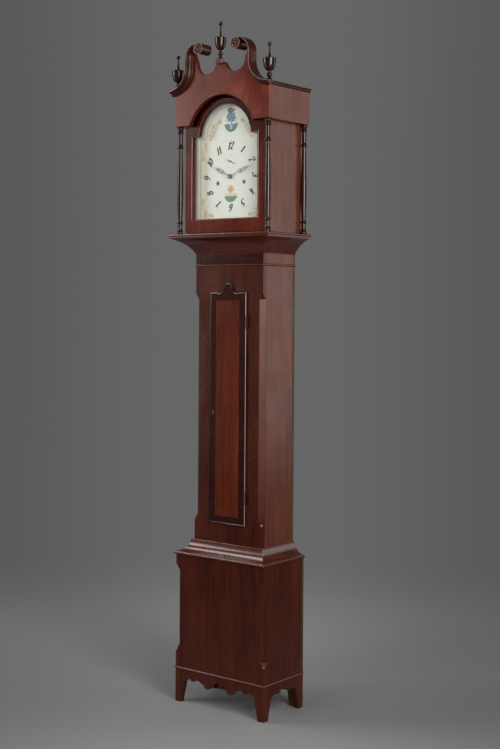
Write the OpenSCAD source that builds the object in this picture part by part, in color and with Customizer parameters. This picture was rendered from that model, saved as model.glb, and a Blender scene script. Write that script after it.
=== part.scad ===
// Tall case clock with an eight day time and strike movement.
// Millimetres, +Z up, front towards -Y, origin under the middle of the case.

/* [Case] */
// Width of the base box
base_w = 413; // [405:1:420]
// Depth of the base box, front face to back
base_d = 236; // [230:1:240]
// Width of the waist
waist_w = 315; // [313:1:319]
// Depth of the waist, front face to back
waist_d = 190; // [188:1:192]
// Height of the feet, up to the base bead
foot_h = 122; // [112:1:130]
// Height of the base, up to the underside of its moulding
base_h = 547; // [530:1:560]
// Corner chamfer of the waist
waist_chamfer = 17; // [8:1:18]
// Corner chamfer of the base
base_chamfer = 20; // [8:1:22]
// Thickness of the case boards
board = 14; // [12:1:14]

/* [Waist door] */
// Width over the lipped edge
door_w = 170; // [168:1:174]
// Underside of the door
door_z0 = 670; // [650:1:700]
// Shoulder height of the door
door_z1 = 1515; // [1500:1:1520]

/* [Hood] */
// Half width of the frieze
frieze_hw = 220; // [218:1:222]
// Half width of the base fillet
fillet_hw = 232; // [230:1:234]
// Underside of the frieze
frieze_z = 2130; // [2128:1:2132]
// Radius of the frieze arch
frieze_arch_r = 158.6; // [158:0.2:160]
// Radius of the hood door's arched head
door_arch_r = 148; // [146:1:149]
// Radius of the columns' widest part
column_r = 11; // [10:0.5:11.5]
// Radius of the scrolls' lower sweep
scroll_r = 78; // [76:1:79]

/* [Dial and movement] */
// Height of the dial centre
dial_cz = 1939; // [1938:1:1940]
// Width of the dial
dial_w = 305; // [300:1:310]
// Radius of the pendulum bob
bob_r = 50; // [40:1:55]
// Travel of the weights
weight_travel = 1307; // [1200:1:1307]

/* [Hidden] */
$fn = 48;
gap = 0.3;
// Glue joint between boards of one assembly
joint = 0.1;
total_d = 276;
back = total_d / 2;
base_hw = base_w / 2;
base_y = back - base_d;
waist_hw = waist_w / 2;
waist_y = back - waist_d;
frieze_y = -108;
fillet_y = -124;
back_t = 12;
back_y = back - back_t;
fillet_z0 = 1715;
fillet_z1 = 1730;
frieze_top = 2249;
arch_cz = 2072.4;
front_t = 18;
wood = "#6e2d20";
dark_wood = "#3a1a14";
brass = "#c9a24a";
steel = "#9aa0a6";
iron = "#4a4a4c";
enamel = "#e6e2d2";

// ---- helpers ----
module box(lo, hi) translate(lo) cube(hi - lo);
module pair() { children(); mirror([1, 0, 0]) children(); }
// A drawing in X and Z, from y0 to y1
module slab_xz(y0, y1) translate([0, y1, 0]) rotate([90, 0, 0]) linear_extrude(y1 - y0) children();
// A drawing in Y and Z, from x0 to x1
module slab_yz(x0, x1) translate([x0, 0, 0]) rotate([90, 0, 90]) linear_extrude(x1 - x0) children();
// A round bar along Y
module rod_y(x, z, y0, y1, r) translate([x, y1, z]) rotate([90, 0, 0]) cylinder(h = y1 - y0, r = r);
module rod_z(x, y, z0, z1, r) translate([x, y, z0]) cylinder(h = z1 - z0, r = r);
function arc(cx, cz, r, a0, a1, n = 12) =
  [for (i = [0:n]) let(a = a0 + (a1 - a0) * i / n) [cx + r * cos(a), cz + r * sin(a)]];
function flip(pts) = [for (i = [len(pts) - 1:-1:0]) [-pts[i][0], pts[i][1]]];
// Moulding of a given profile round the front and both sides, mitred at the corners.
// Profile points are [distance out from the wall, height].
module moulding3(pts, hw, yf, yb, reach, z0, z1) {
  intersection() {
    slab_yz(-hw - reach, hw + reach) polygon([for (p = pts) [yf - p[0], p[1]]]);
    translate([0, 0, z0]) linear_extrude(z1 - z0)
      polygon([[-hw, yf], [-hw - reach, yf - reach], [hw + reach, yf - reach], [hw, yf]]);
  }
  pair() intersection() {
    slab_xz(yf - reach, yb) polygon([for (p = pts) [hw + p[0], p[1]]]);
    translate([0, 0, z0]) linear_extrude(z1 - z0)
      polygon([[hw, yf], [hw + reach, yf - reach], [hw + reach, yb], [hw, yb]]);
  }
}
// Cutter for a chamfer with lamb's tongue stops on the front right corner
module chamfer_cut(hw, yf, leg, z0, z1) {
  d = leg / sqrt(2);
  stop = leg * 1.1;
  tongue = [[6, z0], [0, z0], [-0.35 * d, z0 + 0.18 * stop], [-0.5 * d, z0 + 0.55 * stop], [-d, z0 + stop]];
  top = [for (i = [len(tongue) - 1:-1:0]) [tongue[i][0], z1 + z0 - tongue[i][1]]];
  translate([hw, yf, 0]) rotate([0, 0, -45]) slab_xz(-leg - 6, leg + 6) polygon(concat(tongue, top));
}
module chamfers(hw, yf, leg, z0, z1) pair() chamfer_cut(hw, yf, leg, z0, z1);

// ---- base ----
base_cut_z0 = 185;
base_cut_z1 = 509;
module base_cut() chamfers(base_hw, base_y, base_chamfer, base_cut_z0, base_cut_z1);
module base_front_panel() color(wood) difference() {
  box([-base_hw, base_y, foot_h + 8], [base_hw, base_y + front_t, base_h]);
  base_cut();
}
module base_sides() color(wood) difference() {
  pair() box([base_hw - board, base_y + front_t, foot_h + 8], [base_hw, back_y, base_h]);
  base_cut();
}
// Floor board on four glue blocks behind the aprons
block_w = 22;
block_z0 = 88;
module base_bottom() color(dark_wood) {
  box([-base_hw + board, base_y + front_t, foot_h + 8], [base_hw - board, back_y, foot_h + 20]);
  for (y = [base_y + front_t, back_y - block_w - 8]) pair()
    box([base_hw - front_t - block_w, y, block_z0], [base_hw - front_t, y + block_w, foot_h + 8 - joint]);
}
module backboards() color(dark_wood) {
  box([-base_hw, back_y, foot_h + 8], [base_hw, back, base_h - joint]);
  box([-waist_hw, back_y, base_h], [waist_hw, back, 2115]);
}
foot_w = 27;
rear_foot_w = 50;
front_drop = [[base_hw - foot_w, 0], [base_hw - foot_w - 8, 42]];
function front_scallop() = concat(front_drop, arc(base_hw - 60, 68, 19, 0, 85, 6),
  [[134, 91], [132, 85.5], [118, 84.5]], arc(101, 80, 13, 60, 120, 4), [[79, 84]],
  arc(53, 85, 17, 340, 200, 9), [[30, 90], [18, 98]], arc(0, 88, 14, 60, 90, 3));
module front_skirt() color(wood) slab_xz(base_y, base_y + front_t)
  polygon(concat([[base_hw, 0]], front_scallop(), flip(front_scallop()),
    [[-base_hw, 0], [-base_hw, foot_h], [base_hw, foot_h]]));
skirt_mid = (base_y + back) / 2;
side_half = (back - base_y) / 2;
function side_scallop() = concat([[side_half - foot_w, 0], [side_half - foot_w - 10, 48]],
  arc(side_half - 56, 67, 15, 0, 85, 6), [[50, 87]], arc(34, 104, 21, 290, 240, 4),
  [[22, 84], [21, 92], [15, 93]]);
module side_skirts() color(wood) {
  pair() slab_yz(base_hw - front_t, base_hw) translate([skirt_mid, 0]) intersection() {
    polygon(concat([[side_half, 0]], side_scallop(), flip(side_scallop()),
      [[-side_half, 0], [-side_half, foot_h], [side_half, foot_h]]));
    translate([-side_half + front_t, -1]) square([2 * side_half - front_t, foot_h + 2]);
  }
  pair() slab_xz(back - front_t, back) polygon([[base_hw - front_t, 0], [base_hw - rear_foot_w, 0],
    [base_hw - rear_foot_w - 12, 90], [base_hw - rear_foot_w - 12, foot_h], [base_hw - front_t, foot_h]]);
}
bead_r = 4;
function base_profile() = concat([[0, base_h], [54, base_h], [54, base_h + 6]],
  arc(56, base_h + 56, 50, 268, 182, 12), [[0, base_h + 55]]);
module base_mouldings() color(wood) {
  moulding3(base_profile(), waist_hw, waist_y, back, 60, base_h - 1, base_h + 60);
  moulding3(concat([[0, foot_h]], arc(0, foot_h + bead_r, bead_r + 1, -50, 50, 8), [[0, foot_h + 8]]),
    base_hw, base_y, back, 10, foot_h, foot_h + 8);
  box([-base_hw, base_y, foot_h], [base_hw, base_y + front_t, foot_h + 8]);
  pair() box([base_hw - board, base_y + front_t, foot_h], [base_hw, back, foot_h + 8]);
}

// ---- waist ----
waist_z1 = 1656;
astragal_z = 1616;
astragal_r = 4;
opening_hw = door_w / 2 - 7.5;
opening_z0 = door_z0 + 8;
opening_z1 = door_z1 - 8;
cheek_z = 1830;
waist_cut_z0 = 675;
waist_cut_z1 = 1510;
hinge_x = door_w / 2 + 3.4;
hinge_y = waist_y - 6.5;
hinge_zs = [752, 1388];
hinge_h = 45;
module waist_cut() chamfers(waist_hw, waist_y, waist_chamfer, waist_cut_z0, waist_cut_z1);
module waist_stiles() color(wood) difference() {
  pair() box([opening_hw, waist_y, base_h], [waist_hw, waist_y + front_t, waist_z1]);
  waist_cut();
  for (z = hinge_zs) box([hinge_x - 1, waist_y - 1, z - 0.1], [hinge_x + 1, waist_y + 14, z + hinge_h + 0.1]);
}
module waist_rails() color(wood) {
  box([-opening_hw, waist_y, base_h], [opening_hw, waist_y + front_t, opening_z0]);
  box([-opening_hw, waist_y, opening_z1], [opening_hw, waist_y + front_t, waist_z1]);
}
module waist_sides() color(wood) difference() {
  pair() box([waist_hw - board, waist_y + front_t, base_h], [waist_hw, back_y, cheek_z]);
  waist_cut();
}
function cove_profile() = concat([[0, waist_z1], [1.5, waist_z1]],
  arc(98, waist_z1 - 47, 109, 152.5, 106.5, 12), [[67, fillet_z0], [0, fillet_z0]]);
module waist_top_mouldings() color(wood) {
  moulding3(cove_profile(), waist_hw, waist_y, back, 70, waist_z1, fillet_z0);
  moulding3(concat([[0, astragal_z - 4]], arc(0, astragal_z, astragal_r, -70, 70, 8), [[0, astragal_z + 4]]),
    waist_hw, waist_y, back, 10, astragal_z - 6, astragal_z + 6);
  box([-waist_hw, waist_y, waist_z1], [waist_hw, waist_y + front_t, fillet_z0]);
}
seat_z = dial_cz - 91;
wind_x = 61.3;
drum_r = 26;
groove_r = 25;
gut_y = 24;
// Each gut falls from the left of its barrel, round a pulley, and up to the seat board
going_gut_x = wind_x - drum_r;
strike_gut_x = -wind_x - drum_r;
bolt_x = 16;
bolt_y = 25;
bolt_r = 2.5;
module seat_board() color(dark_wood) difference() {
  box([-waist_hw, -24, cheek_z], [waist_hw, 66, seat_z]);
  for (x = [going_gut_x, strike_gut_x]) {
    box([x - 8, gut_y - 14, cheek_z - 1], [x + 8, gut_y + 14, seat_z + 1]);
    rod_z(x + 2 * groove_r, gut_y, cheek_z - 1, seat_z + 1, 2.5);
  }
  pair() rod_z(bolt_x, bolt_y, cheek_z - 1, seat_z + 1, bolt_r + 0.3);
}
knuckle_r = 3;
pin_r = 1.4;
module waist_hinge_leaves() color(brass) for (z = hinge_zs) translate([0, 0, z]) {
  for (part = [[0, 14], [31, hinge_h]]) {
    rod_z(hinge_x, hinge_y, part[0], part[1], knuckle_r);
    box([hinge_x - 0.6, hinge_y + 1, part[0]], [hinge_x + 0.6, waist_y + 13.5, part[1]]);
  }
  rod_z(hinge_x, hinge_y, 0, hinge_h, pin_r);
}

// ---- waist door ----
// Right half of the door's shaped head, inset by i
function crest(i) = concat([[door_w / 2 - i, door_z1 - i], [49 - i / 2, door_z1 - i]],
  arc(43, door_z1 + 18, 21 + i, 270, 207, 7), arc(0, door_z1 + 14, 20.5 - i, 8, 90, 8));
module door_face(i) polygon(concat([[door_w / 2 - i, door_z0 + i]], crest(i), flip(crest(i)),
  [[-door_w / 2 + i, door_z0 + i]]));
door_y = waist_y - 6;
lock_z = 1076;
key_x = -67.9;
body_hw = opening_hw - 2.5;
module waist_door() color(wood) difference() {
  union() {
    slab_xz(door_y, waist_y - gap) door_face(0);
    box([-body_hw, waist_y - gap, opening_z0 + 1], [body_hw, waist_y + 16, opening_z1 - 1]);
  }
  rod_y(key_x, lock_z, waist_y - 20, waist_y + 30, 3.4);
}
lip_w = 6;
module waist_door_lip() color(dark_wood) slab_xz(door_y - 3, door_y) difference() {
  door_face(0);
  door_face(lip_w);
}
module door_hinge_leaves() color(brass) for (z = hinge_zs) translate([0, 0, z]) difference() {
  union() {
    rod_z(hinge_x, hinge_y, 14.3, 30.7, knuckle_r);
    box([door_w / 2, hinge_y - 1, 14.3], [door_w / 2 + 1.2, waist_y - 0.5, 30.7]);
  }
  rod_z(hinge_x, hinge_y, 10, 35, pin_r + 0.05);
}
lock_x0 = -opening_hw + 4;
module door_lock() color(brass) {
  difference() {
    box([lock_x0, waist_y + 16, lock_z - 24], [lock_x0 + 34, waist_y + 26, lock_z + 24]);
    box([lock_x0 - 1, waist_y + 18, lock_z - 7], [lock_x0 + 30, waist_y + 24, lock_z + 7]);
    rod_y(key_x, lock_z, waist_y, waist_y + 30, 2.5);
  }
  difference() {
    rod_y(key_x, lock_z, door_y - 0.8, waist_y + 2, 3.4);
    rod_y(key_x, lock_z, door_y - 2, waist_y + 3, 2);
  }
}
module lock_bolt() color(steel) {
  box([lock_x0 + 1, waist_y + 18.3, lock_z - 6.5], [lock_x0 + 5.5, waist_y + 23.7, lock_z + 6.5]);
  box([lock_x0 + 5, waist_y + 18.3, lock_z + 3], [lock_x0 + 24, waist_y + 23.7, lock_z + 6.5]);
}

// ---- hood ----
hood_side_x = 181;
ledge_x = 175;
hood_side_t = 12;
hood_side_y = -62;
side_rear = 124;
door_front_y = -84;
door_back_y = -64;
hood_pin_x = 182;
hood_pin_y = -82;
hood_pin_r = 2;
roof_z = 2237;
rail_x = waist_hw + 2.5;
mask_y = -61;
mask_t = 12;
module hood_base_frame() color(wood) difference() {
  union() {
    box([-fillet_hw, fillet_y, fillet_z0 + gap], [fillet_hw, waist_y - 6, fillet_z1]);
    pair() box([rail_x, waist_y - 6, fillet_z0 + gap], [fillet_hw, back, fillet_z1]);
  }
  rod_z(hood_pin_x, hood_pin_y, fillet_z1 - 8, fillet_z1 + 1, hood_pin_r + 0.05);
}
module hood_sides() color(wood)
  pair() box([hood_side_x, hood_side_y, fillet_z1], [hood_side_x + hood_side_t, side_rear, frieze_z]);
column_x = 205;
column_ys = [-91, 125];
column_h = frieze_z - fillet_z1;
// Column profile: base ring, swelling shaft and capital ring
shaft_end_r = 8;
function shaft(n = 14) = [for (i = [0:n]) let(t = i / n)
  [shaft_end_r + (column_r - shaft_end_r) * sin(180 * pow(1 - t, 1.35)), 58 + t * (column_h - 142)]];
function column_profile() = concat([[0, 0], [12, 0], [12, 9], [9.5, 11]], arc(8, 18, 3.8, -60, 60, 4),
  [[8, 24], [9, 38], [8.4, 40]], arc(8, 46, 3.8, -60, 60, 4), [[8, 52]], shaft(),
  [[8, column_h - 80]], arc(8, column_h - 72, 3.8, -60, 60, 4), [[8, column_h - 64], [8.8, column_h - 26]],
  arc(8, column_h - 19, 3.8, -60, 60, 4),
  [[9.5, column_h - 12], [12, column_h - 9], [12, column_h], [0, column_h]]);
module hood_columns() color(dark_wood) for (y = column_ys) pair()
  translate([column_x, y, fillet_z1]) rotate_extrude() polygon(column_profile());
// Scrolled head: the outer edge sweeps up from the corner and curls over to the rosette
scroll_t = 8;
cyma_t = 20;
scroll_cx = 228;
scroll_cz = 2261 + scroll_r;
curl_x = 95;
curl_z = 2370;
curl_r = 55;
rose_x = 86.5;
rose_z = 2403;
rose_r = 21;
peak_z = 2346;
neck_y0 = -136;
neck_y1 = frieze_y + front_t;
drum_y1 = -78;
function sweep_out(t) = concat(arc(scroll_cx, scroll_cz, scroll_r + t, 270, 180, 16),
  arc(curl_x, curl_z, curl_r - t, 0, 96, 16));
module neck_band(t0, t1) polygon(concat(sweep_out(t0), [for (i = [33:-1:0]) sweep_out(t1)[i]]));
board_edge = [for (p = sweep_out(scroll_t)) if (p[0] < frieze_hw) p];
module scroll_board() color(wood) slab_xz(frieze_y, frieze_y + front_t) difference() {
  polygon(concat([[frieze_hw, frieze_z]], board_edge, flip(board_edge), [[-frieze_hw, frieze_z]]));
  translate([0, arch_cz]) circle(r = frieze_arch_r, $fn = 120);
  pair() translate([66, 2356]) circle(r = 47);
  pair() polygon([[16, peak_z], [113, 2356], [128, 2392], [128, 2450], [16, 2450]]);
  pair() translate([rose_x, rose_z]) circle(r = rose_r);
  translate([-30, peak_z]) square([60, 100]);
  pair() polygon(sweep_cover());
}
// Region outside the scroll's underside, kept clear for the scrolls
function sweep_cover() = concat(sweep_out(scroll_t), [[60, 2500], [300, 2500], [300, 2200]]);
module hood_top() color(wood) {
  pair() box([frieze_hw - board, frieze_y + front_t, frieze_z], [frieze_hw, back, frieze_top]);
  box([-frieze_hw + board, frieze_y + front_t, roof_z], [frieze_hw - board, back, frieze_top]);
  pair() difference() {
    box([ledge_x, frieze_y + front_t, frieze_z], [frieze_hw - board, back, frieze_z + 12]);
    rod_z(hood_pin_x, hood_pin_y, frieze_z - 1, frieze_z + 8, hood_pin_r + 0.05);
  }
}
// Each scroll is a broad outer band with a stepped moulding below it, on the face of the board
module cornice_mouldings() color(wood) {
  pair() difference() {
    union() {
      slab_xz(neck_y0, neck_y1) neck_band(0, scroll_t);
      slab_xz(frieze_y - 18, frieze_y) neck_band(scroll_t, cyma_t - 7);
      slab_xz(frieze_y - 8, frieze_y) neck_band(cyma_t - 7, cyma_t);
      rod_y(rose_x, rose_z, neck_y0, drum_y1, rose_r);
    }
    rod_y(rose_x, rose_z, neck_y0 - 1, neck_y0 + 3, rose_r - 3);
  }
  pair() box([frieze_hw, neck_y1, frieze_top - 2], [scroll_cx, back, frieze_top + 12]);
}
module rosettes() color(wood) pair() {
  translate([rose_x, -total_d / 2, rose_z]) rotate([-90, 0, 0])
    rotate_extrude() polygon(concat([[0, 0]], arc(0, 4, 4, -90, 0, 4), [[6, 3]],
      arc(12, 4, 3.6, 200, 340, 6), [[17.9, 3.4], [17.9, 5], [0, 5]]));
}
// Urn finial of rim radius r and height h: turned foot, cup, flat lid, spire and ball
function urn(r, h) = concat([[0, 0], [r * 0.44, 0], [r * 0.44, h * 0.02], [r * 0.3, h * 0.08],
  [r * 0.26, h * 0.115], [r * 0.42, h * 0.14], [r * 0.42, h * 0.18], [r * 0.22, h * 0.205],
  [r * 0.2, h * 0.235]],
  [for (t = [0:10:90]) [r * (0.28 + 0.72 * sin(t)), h * (0.56 - 0.31 * cos(t))]],
  [[r, h * 0.575], [r * 0.92, h * 0.585], [r * 0.36, h * 0.595], [r * 0.22, h * 0.64],
  [r * 0.13, h * 0.72], [r * 0.11, h * 0.88]], arc(0, h * 0.945, h * 0.055, -75, 90, 8));
total_h = 2493;
plinth_z1 = 2356;
side_urn_h = 136;
module finials() color(dark_wood) {
  translate([0, frieze_y - 2, 0]) {
    box([-13, -13, peak_z - 6], [13, 2, peak_z]);
    box([-13, -13, peak_z], [13, 13, plinth_z1]);
    translate([0, 0, plinth_z1]) rotate_extrude() polygon(urn(21.6, total_h - plinth_z1));
  }
  pair() difference() {
    translate([213.5, frieze_y + 11, frieze_top + 12]) rotate_extrude() polygon(urn(24, side_urn_h));
    slab_xz(neck_y0 - 1, neck_y1) neck_band(0, scroll_t);
  }
}
// Arched opening of the hood door
open_hw = 152;
open_z0 = 1784;
open_z1 = 2088;
open_r = 122;
open_cz = 2079;
module arch_opening(i) {
  translate([-open_hw + i, open_z0 + i]) square([2 * (open_hw - i), open_z1 - open_z0 - 2 * i]);
  translate([0, open_cz]) circle(r = open_r - i, $fn = 96);
}
hood_door_hw = 185;
hood_door_z0 = 1735;
hood_door_z1 = 2127;
module hood_door_frame() color(wood) difference() {
  slab_xz(door_front_y, door_back_y) difference() {
    union() {
      translate([-hood_door_hw, hood_door_z0]) square([2 * hood_door_hw, hood_door_z1 - hood_door_z0]);
      translate([0, arch_cz]) circle(r = door_arch_r, $fn = 96);
    }
    arch_opening(0);
  }
  slab_xz(door_back_y - 7, door_back_y + 1) arch_opening(-6);
  for (z = [hood_door_z0 - 1, hood_door_z1 - 9]) rod_z(hood_pin_x, hood_pin_y, z, z + 10, hood_pin_r);
}
module hood_door_glass() color("#cfe0e0") slab_xz(door_back_y - 7, door_back_y - 4.5) arch_opening(-6);
module hood_door_pivots() color(brass) for (z = [hood_door_z0 - 11, hood_door_z1 - 9])
  rod_z(hood_pin_x, hood_pin_y, z, z + 19, hood_pin_r);
// Painted mask behind the door, with an opening a little smaller than the door's
module dial_mask() color(enamel) slab_xz(mask_y, mask_y + mask_t) difference() {
  union() {
    translate([-hood_side_x, fillet_z1]) square([2 * hood_side_x, frieze_z - fillet_z1]);
    translate([-ledge_x, frieze_z - 1]) square([2 * ledge_x, roof_z - frieze_z + 1]);
  }
  translate([-open_hw + 9, open_z0 + 3]) square([2 * open_hw - 18, open_z1 - open_z0 - 6]);
  translate([0, open_cz]) circle(r = open_r - 5, $fn = 96);
}

// ---- dial ----
dial_y = -45.5;
dial_t = 1.5;
dial_z0 = 1779;
dial_z1 = 2094;
dial_arch_r = 127;
wind_z = dial_cz - 22;
sec_z = dial_cz + 55;
module dial() color(enamel) difference() {
  slab_xz(dial_y, dial_y + dial_t) union() {
    translate([-dial_w / 2, dial_z0]) square([dial_w, dial_z1 - dial_z0]);
    translate([0, open_cz]) circle(r = dial_arch_r, $fn = 96);
  }
  for (hole = [[0, dial_cz, 6.5], [0, sec_z, 2], [wind_x, wind_z, 6], [-wind_x, wind_z, 6]])
    rod_y(hole[0], hole[1], dial_y - 1, dial_y + 3, hole[2]);
}

// ---- movement ----
plate_y0 = -10;
plate_y1 = -7;
plate_y2 = 57;
plate_y3 = 60;
plate_hw = 74;
plate_z0 = seat_z;
plate_z1 = dial_cz + 90;
wheel_tooth = [0.7, 1.0, 0.28, 0.08];
leaf_tooth = [0.7, 1.0, 0.24, 0.07];
// Outline of a gear: teeth n, module m, first tooth at angle a, tooth shape s
function teeth(n, m, a, s) = [for (i = [0:n - 1])
  for (c = [[-s[1], -s[2]], [s[0], -s[3]], [s[0], s[3]], [-s[1], s[2]]])
  let(r = m * n / 2 + c[0] * m, t = a + (i + c[1]) * 360 / n) [r * cos(t), r * sin(t)]];
module wheel(n, m, a, y0, y1, bore) translate([0, y1, 0]) rotate([90, 0, 0]) linear_extrude(y1 - y0)
  difference() {
    polygon(teeth(n, m, a, wheel_tooth));
    difference() {
      circle(r = m * n / 2 - 4.5);
      circle(r = bore + 3.5);
      for (k = [0:3]) rotate(k * 90 + a) translate([0, -2]) square([m * n, 4]);
    }
    circle(r = bore);
  }
module pinion(n, m, a, y0, y1) translate([0, y1, 0]) rotate([90, 0, 0]) linear_extrude(y1 - y0)
  polygon(teeth(n, m, a, leaf_tooth));
arbor_r = 1.6;
module arbor(y0, y1) rod_y(0, 0, y0, y1, arbor_r);
// Arbor positions, X and height relative to the dial centre
function polar(p, d, a) = [p[0] + d * cos(a), p[1] + d * sin(a)];
function aim(p, q) = atan2(q[1] - p[1], q[0] - p[0]);
centre_p = [0, 0];
going_p = [wind_x, -22];
strike_p = [-wind_x, -22];
escape_p = [0, 55];
great_m = norm(going_p) / 52;
third_m1 = 0.95;
third_m2 = 0.9;
third_d1 = third_m1 * 34;
third_d2 = third_m2 * 31.5;
third_z = (third_d1 * third_d1 - third_d2 * third_d2 + 55 * 55) / 110;
third_p = [sqrt(third_d1 * third_d1 - third_z * third_z), third_z];
motion_m = 0.9;
hour_m = motion_m * 36 / 39;
motion_p = polar(centre_p, motion_m * 36, -60);
strike_m = 0.9;
pin_m = 0.8;
gather_m = 0.7;
pin_p = polar(strike_p, strike_m * 43, 65);
gather_p = polar(pin_p, pin_m * 36, 80);
fly_p = polar(gather_p, gather_m * 31.5, 110);
hammer_p = [-66, 48];
anchor_p = [0, 77];
module at(p) translate([p[0], 0, dial_cz + p[1]]) children();
module pivot_holes() {
  for (p = [going_p, strike_p]) at(p) rod_y(0, 0, plate_y0 - 1, plate_y3 + 1, 3.05);
  for (p = [centre_p, third_p, escape_p, pin_p, gather_p, fly_p, hammer_p, anchor_p])
    at(p) rod_y(0, 0, plate_y0 - 1, plate_y3 + 1, arbor_r + 0.05);
}
module movement_plates() color(brass) difference() {
  for (y = [[plate_y0, plate_y1], [plate_y2, plate_y3]])
    box([-plate_hw, y[0], plate_z0], [plate_hw, y[1], plate_z1]);
  pivot_holes();
}
pillar_ps = [[bolt_x, -80], [40, 84]];
foot_ps = [[66, -80], [66, 82]];
stud_r = 1.2;
module plate_pillars() color(brass) {
  pair() difference() {
    for (p = pillar_ps) at(p) rod_y(0, 0, plate_y1, plate_y2, 5);
    rod_z(bolt_x, bolt_y, seat_z, seat_z + 9.5, bolt_r);
  }
  pair() for (p = foot_ps) at(p) rod_y(0, 0, dial_y + dial_t, plate_y0, 3);
  at(motion_p) rod_y(0, 0, -27, plate_y0, stud_r);
}
module seat_bolts() color(steel) pair() {
  rod_z(bolt_x, bolt_y, cheek_z - 8, seat_z + 9, bolt_r);
  rod_z(bolt_x, bolt_y, cheek_z - 6, cheek_z, 6);
}
// Going train
module centre_wheel() color(brass) at(centre_p) {
  arbor(-55.2, plate_y3 + 2);
  rod_y(0, 0, -53, -11, 4);
  pinion(8, great_m, aim(centre_p, going_p) + 180 / 8, 46, 54);
  wheel(60, third_m1, aim(centre_p, third_p), 33, 35, arbor_r);
  wheel(36, motion_m, aim(centre_p, motion_p), -16, -14.5, arbor_r);
}
module going_great_wheel() color(brass) at(going_p)
  wheel(96, great_m, aim(going_p, centre_p), 49, 52, 3.1);
module third_wheel() color(brass) at(third_p) {
  arbor(plate_y0 - 1, plate_y3 + 1);
  pinion(8, third_m1, aim(third_p, centre_p) + 180 / 8, 30, 38);
  wheel(56, third_m2, aim(third_p, escape_p), 24, 25.8, arbor_r);
}
escape_r = 16;
module escape_wheel() color(brass) at(escape_p) {
  arbor(-49, plate_y3 + 1);
  pinion(7, third_m2, aim(escape_p, third_p) + 180 / 7, 21, 29);
  translate([0, 13.5, 0]) rotate([90, 0, 0]) linear_extrude(1.5) difference() {
    polygon([for (i = [0:29]) for (c = [[12.6, 0.05], [escape_r, 0.42], [escape_r, 0.5], [12.6, 0.8]])
      c[0] * [cos(12 * (i + c[1])), sin(12 * (i + c[1]))]]);
    difference() {
      circle(r = 10.5);
      circle(r = 4);
      for (k = [0:3]) rotate(k * 90) translate([0, -1]) square([12, 2]);
    }
  }
}
module minute_wheel() color(brass) at(motion_p) {
  difference() {
    union() {
      wheel(36, motion_m, aim(motion_p, centre_p) + 180 / 36, -16, -14.5, stud_r + 0.05);
      pinion(6, hour_m, aim(motion_p, centre_p) + 180 / 6, -24, -16);
    }
    rod_y(0, 0, -30, 0, stud_r + 0.05);
  }
}
module hour_wheel() color(brass) at(centre_p) difference() {
  union() {
    wheel(72, hour_m, aim(centre_p, motion_p), -22, -20.5, 5);
    rod_y(0, 0, -50, -20.5, 5.5);
  }
  rod_y(0, 0, -60, -10, 4.06);
}
// A hand: boss, stem, openwork ring and tip, turned a degrees from upright
module hand(l, boss, w, bore, a, y0, y1) rotate([0, a, 0]) difference() {
  union() {
    slab_xz(y0, y1) circle(r = boss);
    slab_xz(y0, y1) polygon([[-w, 1], [-w * 0.6, l * 0.5], [w * 0.6, l * 0.5], [w, 1]]);
    slab_xz(y0, y1) translate([0, l * 0.5]) circle(r = w * 2);
    slab_xz(y0, y1) polygon([[-w * 1.6, l * 0.51], [-0.5, l], [0.5, l], [w * 1.6, l * 0.51]]);
  }
  rod_y(0, 0, y0 - 1, y1 + 1, bore);
  rod_y(0, l * 0.5, y0 - 1, y1 + 1, w * 1.2);
}
minute_angle = 70;
hour_angle = 296;
second_angle = 115;
module minute_hand() color(steel) at(centre_p) hand(118, 8, 3, arbor_r, minute_angle, -54.2, -53.1);
module hour_hand() color(steel) at(centre_p) hand(94, 9, 3.6, 5.5, hour_angle, -50.8, -49.6);
module seconds_hand() color(steel) at(escape_p) rotate([0, second_angle, 0]) difference() {
  union() {
    slab_xz(-49, -48.2) polygon([[-2.4, -15], [-0.5, 27], [0.5, 27], [2.4, -15]]);
    rod_y(0, 0, -49, -48.2, 3.6);
  }
  rod_y(0, 0, -50, -47, arbor_r);
}
// Barrels
module barrel() {
  rod_y(0, 0, dial_y - 2, plate_y3 + 2, 3);
  rod_y(0, 0, 6, 38, drum_r - 1.3);
  for (y = [4, 38]) rod_y(0, 0, y, y + 2, drum_r + 3);
  rod_y(0, 0, 40, 48, 9);
}
module going_barrel() color(brass) at(going_p) barrel();
module strike_barrel() color(brass) at(strike_p) barrel();
// Weights
weight_r = 30;
// Fully wound, the foot of a weight hangs this far under the seat board
wound_drop = 358;
weight_z0 = cheek_z - wound_drop - weight_travel;
weight_h = 250;
pulley_z = weight_z0 + weight_h + 55;
module weight() {
  translate([0, gut_y, weight_z0]) rotate_extrude() polygon(concat(
    [[0, 0], [weight_r, 0], [weight_r, weight_h - 8]], arc(0, weight_h - 8, weight_r, 12, 90, 8)));
  for (s = [-1, 1]) translate([0, gut_y + s * 6, 0])
    box([-4, -0.8, weight_z0 + weight_h + 10], [4, 0.8, pulley_z + 8]);
  rod_z(0, gut_y, weight_z0 + weight_h + 10, weight_z0 + weight_h + 24, 6.2);
  translate([0, gut_y + 4, pulley_z]) rotate([90, 0, 0]) rotate_extrude()
    polygon([[0, 0], [27, 0], [27, 1.5], [groove_r - 3, 4], [27, 6.5], [27, 8], [0, 8]]);
  rod_y(0, pulley_z, gut_y - 7, gut_y + 7, 2);
}
module going_weight() color(iron) translate([going_gut_x + groove_r, 0, 0]) weight();
module strike_weight() color(iron) translate([strike_gut_x + groove_r, 0, 0]) weight();
gut_r = 0.9;
module gut() {
  rod_z(0, gut_y, pulley_z, wind_z, gut_r);
  rod_z(2 * groove_r, gut_y, pulley_z, seat_z, gut_r);
}
module going_gut() color("#b89a68") translate([going_gut_x, 0, 0]) gut();
module strike_gut() color("#b89a68") translate([strike_gut_x, 0, 0]) gut();
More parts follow.
